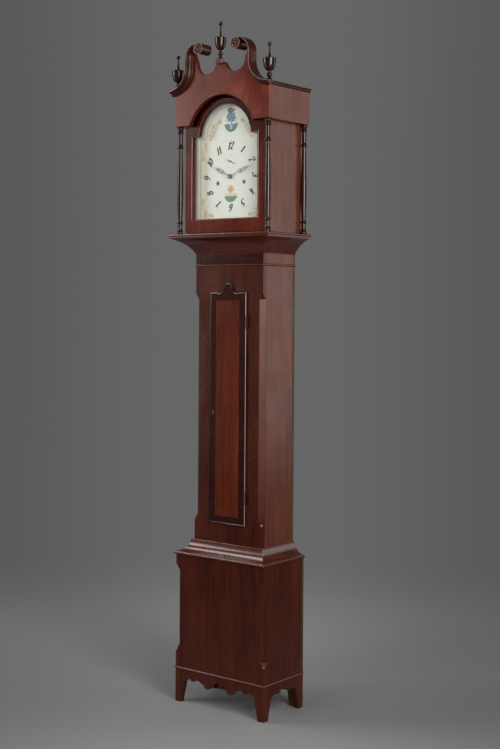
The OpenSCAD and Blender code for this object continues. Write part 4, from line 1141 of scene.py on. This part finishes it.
def weights():
    """Cast weights with a hook plate, and pulleys in iron stirrups."""
    for name in ("going_weight", "strike_weight"):
        lo, hi = span(name)
        cx, cy = (lo.x + hi.x) / 2, GUT_Y
        z0, top = lo.z, lo.z + 250
        pz = top + 55
        can = [(0, z0), (28.6, z0), (30, z0 + 1.4), (30, z0 + 5), (29.5, z0 + 6), (29.5, top - 10)]
        can += [(30 * cos(radians(a)), top - 10 + 10 * sin(radians(a))) for a in (10, 25, 40, 55)]
        can += [(12, top - 0.5), (5.5, top + 0.5), (4.6, top + 4), (5.8, top + 7), (5.8, top + 9)]
        shape = Shape().lathe(can + [(3.0, top + 11), (0, top + 11)], (cx, cy, 0), "Z", 72)
        plate = [(0, top + 10), (6.2, top + 10), (6.2, top + 23), (5.4, top + 24), (0, top + 24)]
        shape.lathe(plate, (cx, cy, 0), "Z", 40)
        shape.piece(name + "_casting", iron, name, "cast_iron", (name,), 35)
        rim = [(20, 3.4), (20, -3.4), (26.4, -4), (27, -4), (27, -2.5), (25.4, -1.4), (24.1, -0.7)]
        rim += [(24.1, 0.7), (25.4, 1.4), (27, 2.5), (27, 4), (26.4, 4)]
        pulley = Shape().hoop([(r, cy + y) for r, y in rim], cx, pz, 72)
        pulley.lathe([(0, -4), (5, -4), (5, 4), (0, 4)], (cx, cy, pz), "Y", 40)
        for k in range(4):
            spoke = [polar(r, tau * k / 4 + 0.4, cx, pz) for r in (4, 12, 20.6)]
            pulley.ribbon(spoke, lambda t, d: 4.2 - 1.4 * sin(pi * t), cy - 1.4, cy + 1.4)
        pulley.piece(name + "_pulley", brass, name, "brass", smooth=35)
        yoke = Shape()
        cheek = [(-4, top + 12), (4, top + 12), (3.2, pz - 6)] + arc(0, pz, 5.4, -40, 220, 14)
        cheek.append((-3.2, pz - 6))
        for y in (cy - 6, cy + 6):
            yoke.slab([(cx + x, z) for x, z in cheek], y - 0.8, y + 0.8)
        yoke.lathe([(0, -7), (2.0, -7), (2.0, 7), (0, 7)], (cx, cy, pz), "Y", 24)
        yoke.piece(name + "_stirrup", steel, name, "steel", smooth=35)
        under = [(x, cy, z) for x, z in arc(cx, pz, 25, 180, 360, 24)]
        Shape().wire(under, 0.85).piece(name + "_gut_bend", gut_cord, name, "gut")


def gut_runs():
    """Each gut's two straight runs, up to the barrel and up to the seat board, and its knot. In the real
    clock the runs shorten as the weight is wound up.
    """
    seat_lo, seat_hi = span("seat_board")
    gut_r, steps = 0.9, 24
    for name, joint in (("going_gut", "going_weight_lift"), ("strike_gut", "strike_weight_lift")):
        lo, hi = span(name)
        seat_z = (seat_lo.z + seat_hi.z) / 2
        for part, x, top in (("barrel_run", lo.x + gut_r, hi.z), ("seat_run", hi.x - gut_r, seat_z)):
            line = [(x, GUT_Y, lo.z + (top - lo.z) * i / steps) for i in range(steps + 1)]
            replaced = (name,) if part == "barrel_run" else ()
            obj = Shape().wire(line, 0.85).piece(name + "_" + part, gut_cord, "case", "gut", replaced)
            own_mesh(obj)
        x, z = hi.x - gut_r, seat_hi.z
        knot = [(0, z), (2.6, z), (3.0, z + 1.4), (2.2, z + 3.2), (0.8, z + 4.4), (0, z + 4.4)]
        knot = Shape().lathe(knot, (x, GUT_Y, 0), "Z", 20)
        knot.wire([(x, GUT_Y, seat_z), (x, GUT_Y, z + 1)], 0.85)
        knot.piece(name + "_knot", gut_cord, "case", "gut")


def pendulum():
    """Brass lens bob and milled rating nut."""
    lo, hi = span("pendulum_bob")
    cz, cy, r = (lo.z + hi.z) / 2, (lo.y + hi.y) / 2, (hi.z - lo.z) / 2
    dome = 11.4
    big = (r * r + dome * dome) / (2 * dome)
    face = []
    for i in range(15):
        d = r * (1 - i / 14) * 0.985
        face.append((d, cy + 1.5 + sqrt(big * big - d * d) - (big - dome)))
    front = [(d, 2 * cy - y) for d, y in reversed(face)]
    bob = Shape().lathe(front + [(r, cy - 1.2), (r, cy + 1.2)] + face, (0, 0, cz), "Y", 96)
    bob.piece("lens_bob", brass_bright, "pendulum", "brass", ("pendulum_bob",), 40)
    lo, hi = span("rating_nut")
    mill = [polar(9.0 - (0.55 if i % 2 else 0), tau * i / 96) for i in range(96)]
    foot, z = lo.z, hi.z
    steps = ((0.2, z), (0.93, z), (1, z - 0.7), (1, z - 5.3), (0.93, z - 6), (0.55, z - 6.4))
    steps += ((0.55, foot + 0.6), (0.5, foot), (0.2, foot))
    rings = [[(x * scale, cy + y * scale, height) for x, y in mill] for scale, height in steps]
    nut = Shape().grid(rings, closed=True)
    nut.piece("milled_rating_nut", brass, "rating_nut", "brass", ("rating_nut",), 35)


def bell():
    """Cast bell with a thickened lip, on its standard."""
    cx, cy, cz, r = 20, 41, DIAL_CZ + 108, 48
    profile = [(r, 0), (r, 1.2), (r - 1.2, 3)] + [polar(r - 2, radians(a)) for a in range(8, 88, 6)]
    profile += [(2.6, r - 2), (2.6, r - 5)] + [polar(r - 5, radians(a)) for a in range(86, 4, -6)]
    profile.append((r - 3.4, 0))
    rings = [[(x, y, cz + h) for x, y in circle(cx, cy, q, 96)] for q, h in profile]
    Shape().grid(rings, closed=True).piece("cast_bell", bell_metal, "case", "brass", ("bell",), 35)
    post = [(0, r - 7), (3.6, r - 7), (3.6, r - 5.2), (2.4, r - 5), (2.4, r - 1.6), (4.4, r - 1.4)]
    post += [(4.4, r + 0.6), (2.4, r + 1), (2.4, 60), (1.6, 61), (0, 61)]
    arm = Shape().lathe(post, (cx, cy, cz), "Z", 32)
    back = 105
    bends = ((0, cy, 56), (0, back - 12, 56), (1, back - 4, 55), (5, back - 1, 50), (10, back - 1, -6))
    bends += ((10, back - 6, -12), (10, 66, -14), (10, 62.6, -20), (10, 62.2, -56))
    arm.wire(smooth_curve([(cx + x, y, cz + z) for x, y, z in bends], 6), 2.0, 12)
    arm.block((cx + 5, 60, DIAL_CZ + 50), (cx + 15, 64, DIAL_CZ + 86))
    arm.piece("bell_standard", steel, "case", "steel", smooth=40)


# ---- small case fittings
def keyhole_plate():
    """Brass rim of the keyhole on the waist door."""
    cx, cz, y = -67.9, 1076, WAIST_LO.y
    outer, hole = (ellipse(cx, cz, rx, rz, 0, 350, 35) for rx, rz in ((5.0, 8.0), (3.5, 6.2)))
    section = ((hole, y + 0.3), (hole, y - 0.55), (outer, y - 0.55), (outer, y + 0.3))
    rim = Shape().grid([[(x, depth, z) for x, z in ring] for ring, depth in section], closed=True)
    rim.piece("keyhole_rim", brass, "waist_door", "brass")


# ---- studio
FLOOR_GREY = 0.34
BACK_GREY = 0.134
EDGE_GREY = 0.097
# The camera: its turn and roll, its place, its focal length and how far the view is shifted down
SIGHT_YAW, SIGHT_ROLL = radians(38.208), radians(0.38)
EYE = (2.986, -3.7211, 1.4697)
LENS_MM, VIEW_SHIFT = 41.578638, -0.09238985


def studio():
    """Floor with a painted pool of light, fading into a soft grey surround, and the lights."""
    aside = (cos(SIGHT_YAW), sin(SIGHT_YAW), 0)
    along = (-0.5 * sin(SIGHT_YAW), 0.5 * cos(SIGHT_YAW), 0)
    sky = Look("surround", world=True)
    bpy.context.scene.world = sky.owner
    # The surround is painted darker towards the sides of the view, a painted fall-off of light.
    sky.finish({"Color": sky.ranged(sky.offset("Generated", aside), (0.045, 0.215), (BACK_GREY, EDGE_GREY))})

    mesh = bpy.data.meshes.new("studio_floor")
    size = 14.0
    corners = [(x * size, y * size, 0) for x, y in ((-1, -1), (1, -1), (1, 1), (-1, 1))]
    mesh.from_pydata(corners, [], [(0, 1, 2, 3)])
    look = Look("studio_floor_grey")
    # Painted pool of light: the floor's grey is darker to the sides and lighter with distance in front of and
    # behind the clock.
    shade = look.ranged(look.offset("Object", aside), (0.1, 1.05), (1.0, 0.74))
    light_pool = look.ranged(look.offset("Object", along), (0.0, 0.9), (FLOOR_GREY * 0.8, FLOOR_GREY * 1.25))
    look.finish({"Base Color": look.calc("MULTIPLY", shade, light_pool), "Roughness": 0.6})
    away = look.add("VectorMath", {0: look.place()}, "Value", operation="LENGTH")
    fade = look.ranged(away, (0.1, 3.6), (0.0, 1.0), "SMOOTHERSTEP")
    faded = look.add("MixShader", {0: fade, 1: look.shader.outputs[0], 2: look.add("BsdfTransparent", {})})
    look.feed(look.tree.nodes["Material Output"].inputs["Surface"], faded)
    mesh.materials.append(look.owner)
    floor = put("studio_floor", mesh)

    def softbox(name, place, target, width, height, power, tint=EVEN):
        data = bpy.data.lights.new(name, "AREA")
        data.shape = "RECTANGLE"
        data.size, data.size_y = width, height
        data.energy = power
        data.color = tint
        lamp = put(name, data)
        lamp.location = place
        lamp.rotation_euler = (Vector(target) - Vector(place)).to_track_quat("-Z", "Y").to_euler()
        return lamp

    softbox("key", (2.4, -1.1, 2.1), (0, 0, 1.4), 0.9, 1.4, 58, (1.0, 0.97, 0.93))
    softbox("front_left_high", (-3.95, -3.05, 2.9), (0, 0, 1.9), 1.5, 1.5, 70)
    softbox("front_left_low", (-4.05, -2.95, 1.1), (0, 0, 1.2), 1.5, 1.7, 22)
    softbox("upper_left", (-2.6, -0.7, 4.2), (0, 0, 1.6), 1.2, 1.2, 34)
    softbox("right_sheen", (3.2, 3.6, 1.9), (0, 0, 1.5), 1.8, 3.0, 30)
    softbox("chamfer_sheen", (3.4, -2.67, 1.6), (0, 0, 1.4), 0.5, 2.6, 30, (1.0, 0.93, 0.86))
    softbox("front_fill", (-0.8, -4.6, 2.5), (0, 0, 1.8), 2.0, 2.0, 52).visible_glossy = False


def camera():
    """The camera's place, turn and lens, with the view shifted instead of tilted."""
    data = bpy.data.cameras.new("camera")
    cam = put("camera", data)
    data.sensor_fit = "VERTICAL"
    data.sensor_height = data.sensor_width = 24
    data.lens = LENS_MM
    data.shift_y = VIEW_SHIFT
    data.clip_start, data.clip_end = 0.05, 100
    cam.location = EYE
    look = Euler((radians(90), 0, SIGHT_YAW)).to_matrix() @ Matrix.Rotation(SIGHT_ROLL, 3, "Z")
    cam.rotation_euler = look.to_euler()
    bpy.context.scene.camera = cam
    bpy.context.scene.view_settings.view_transform = "Standard"


for build in (
    base_moulding, waist_moulding, veneers, hood_nosing, scrolls, rosettes, finials, columns, hood_trim,
    mask_liner, waist_door_face, numerals, minute_marks, arbor_ends, spandrels, arch_picture,
    lower_picture, winding_collets, hands, pillars, barrels, weights, gut_runs, pendulum, bell,
    keyhole_plate, studio, camera,
):
    build()
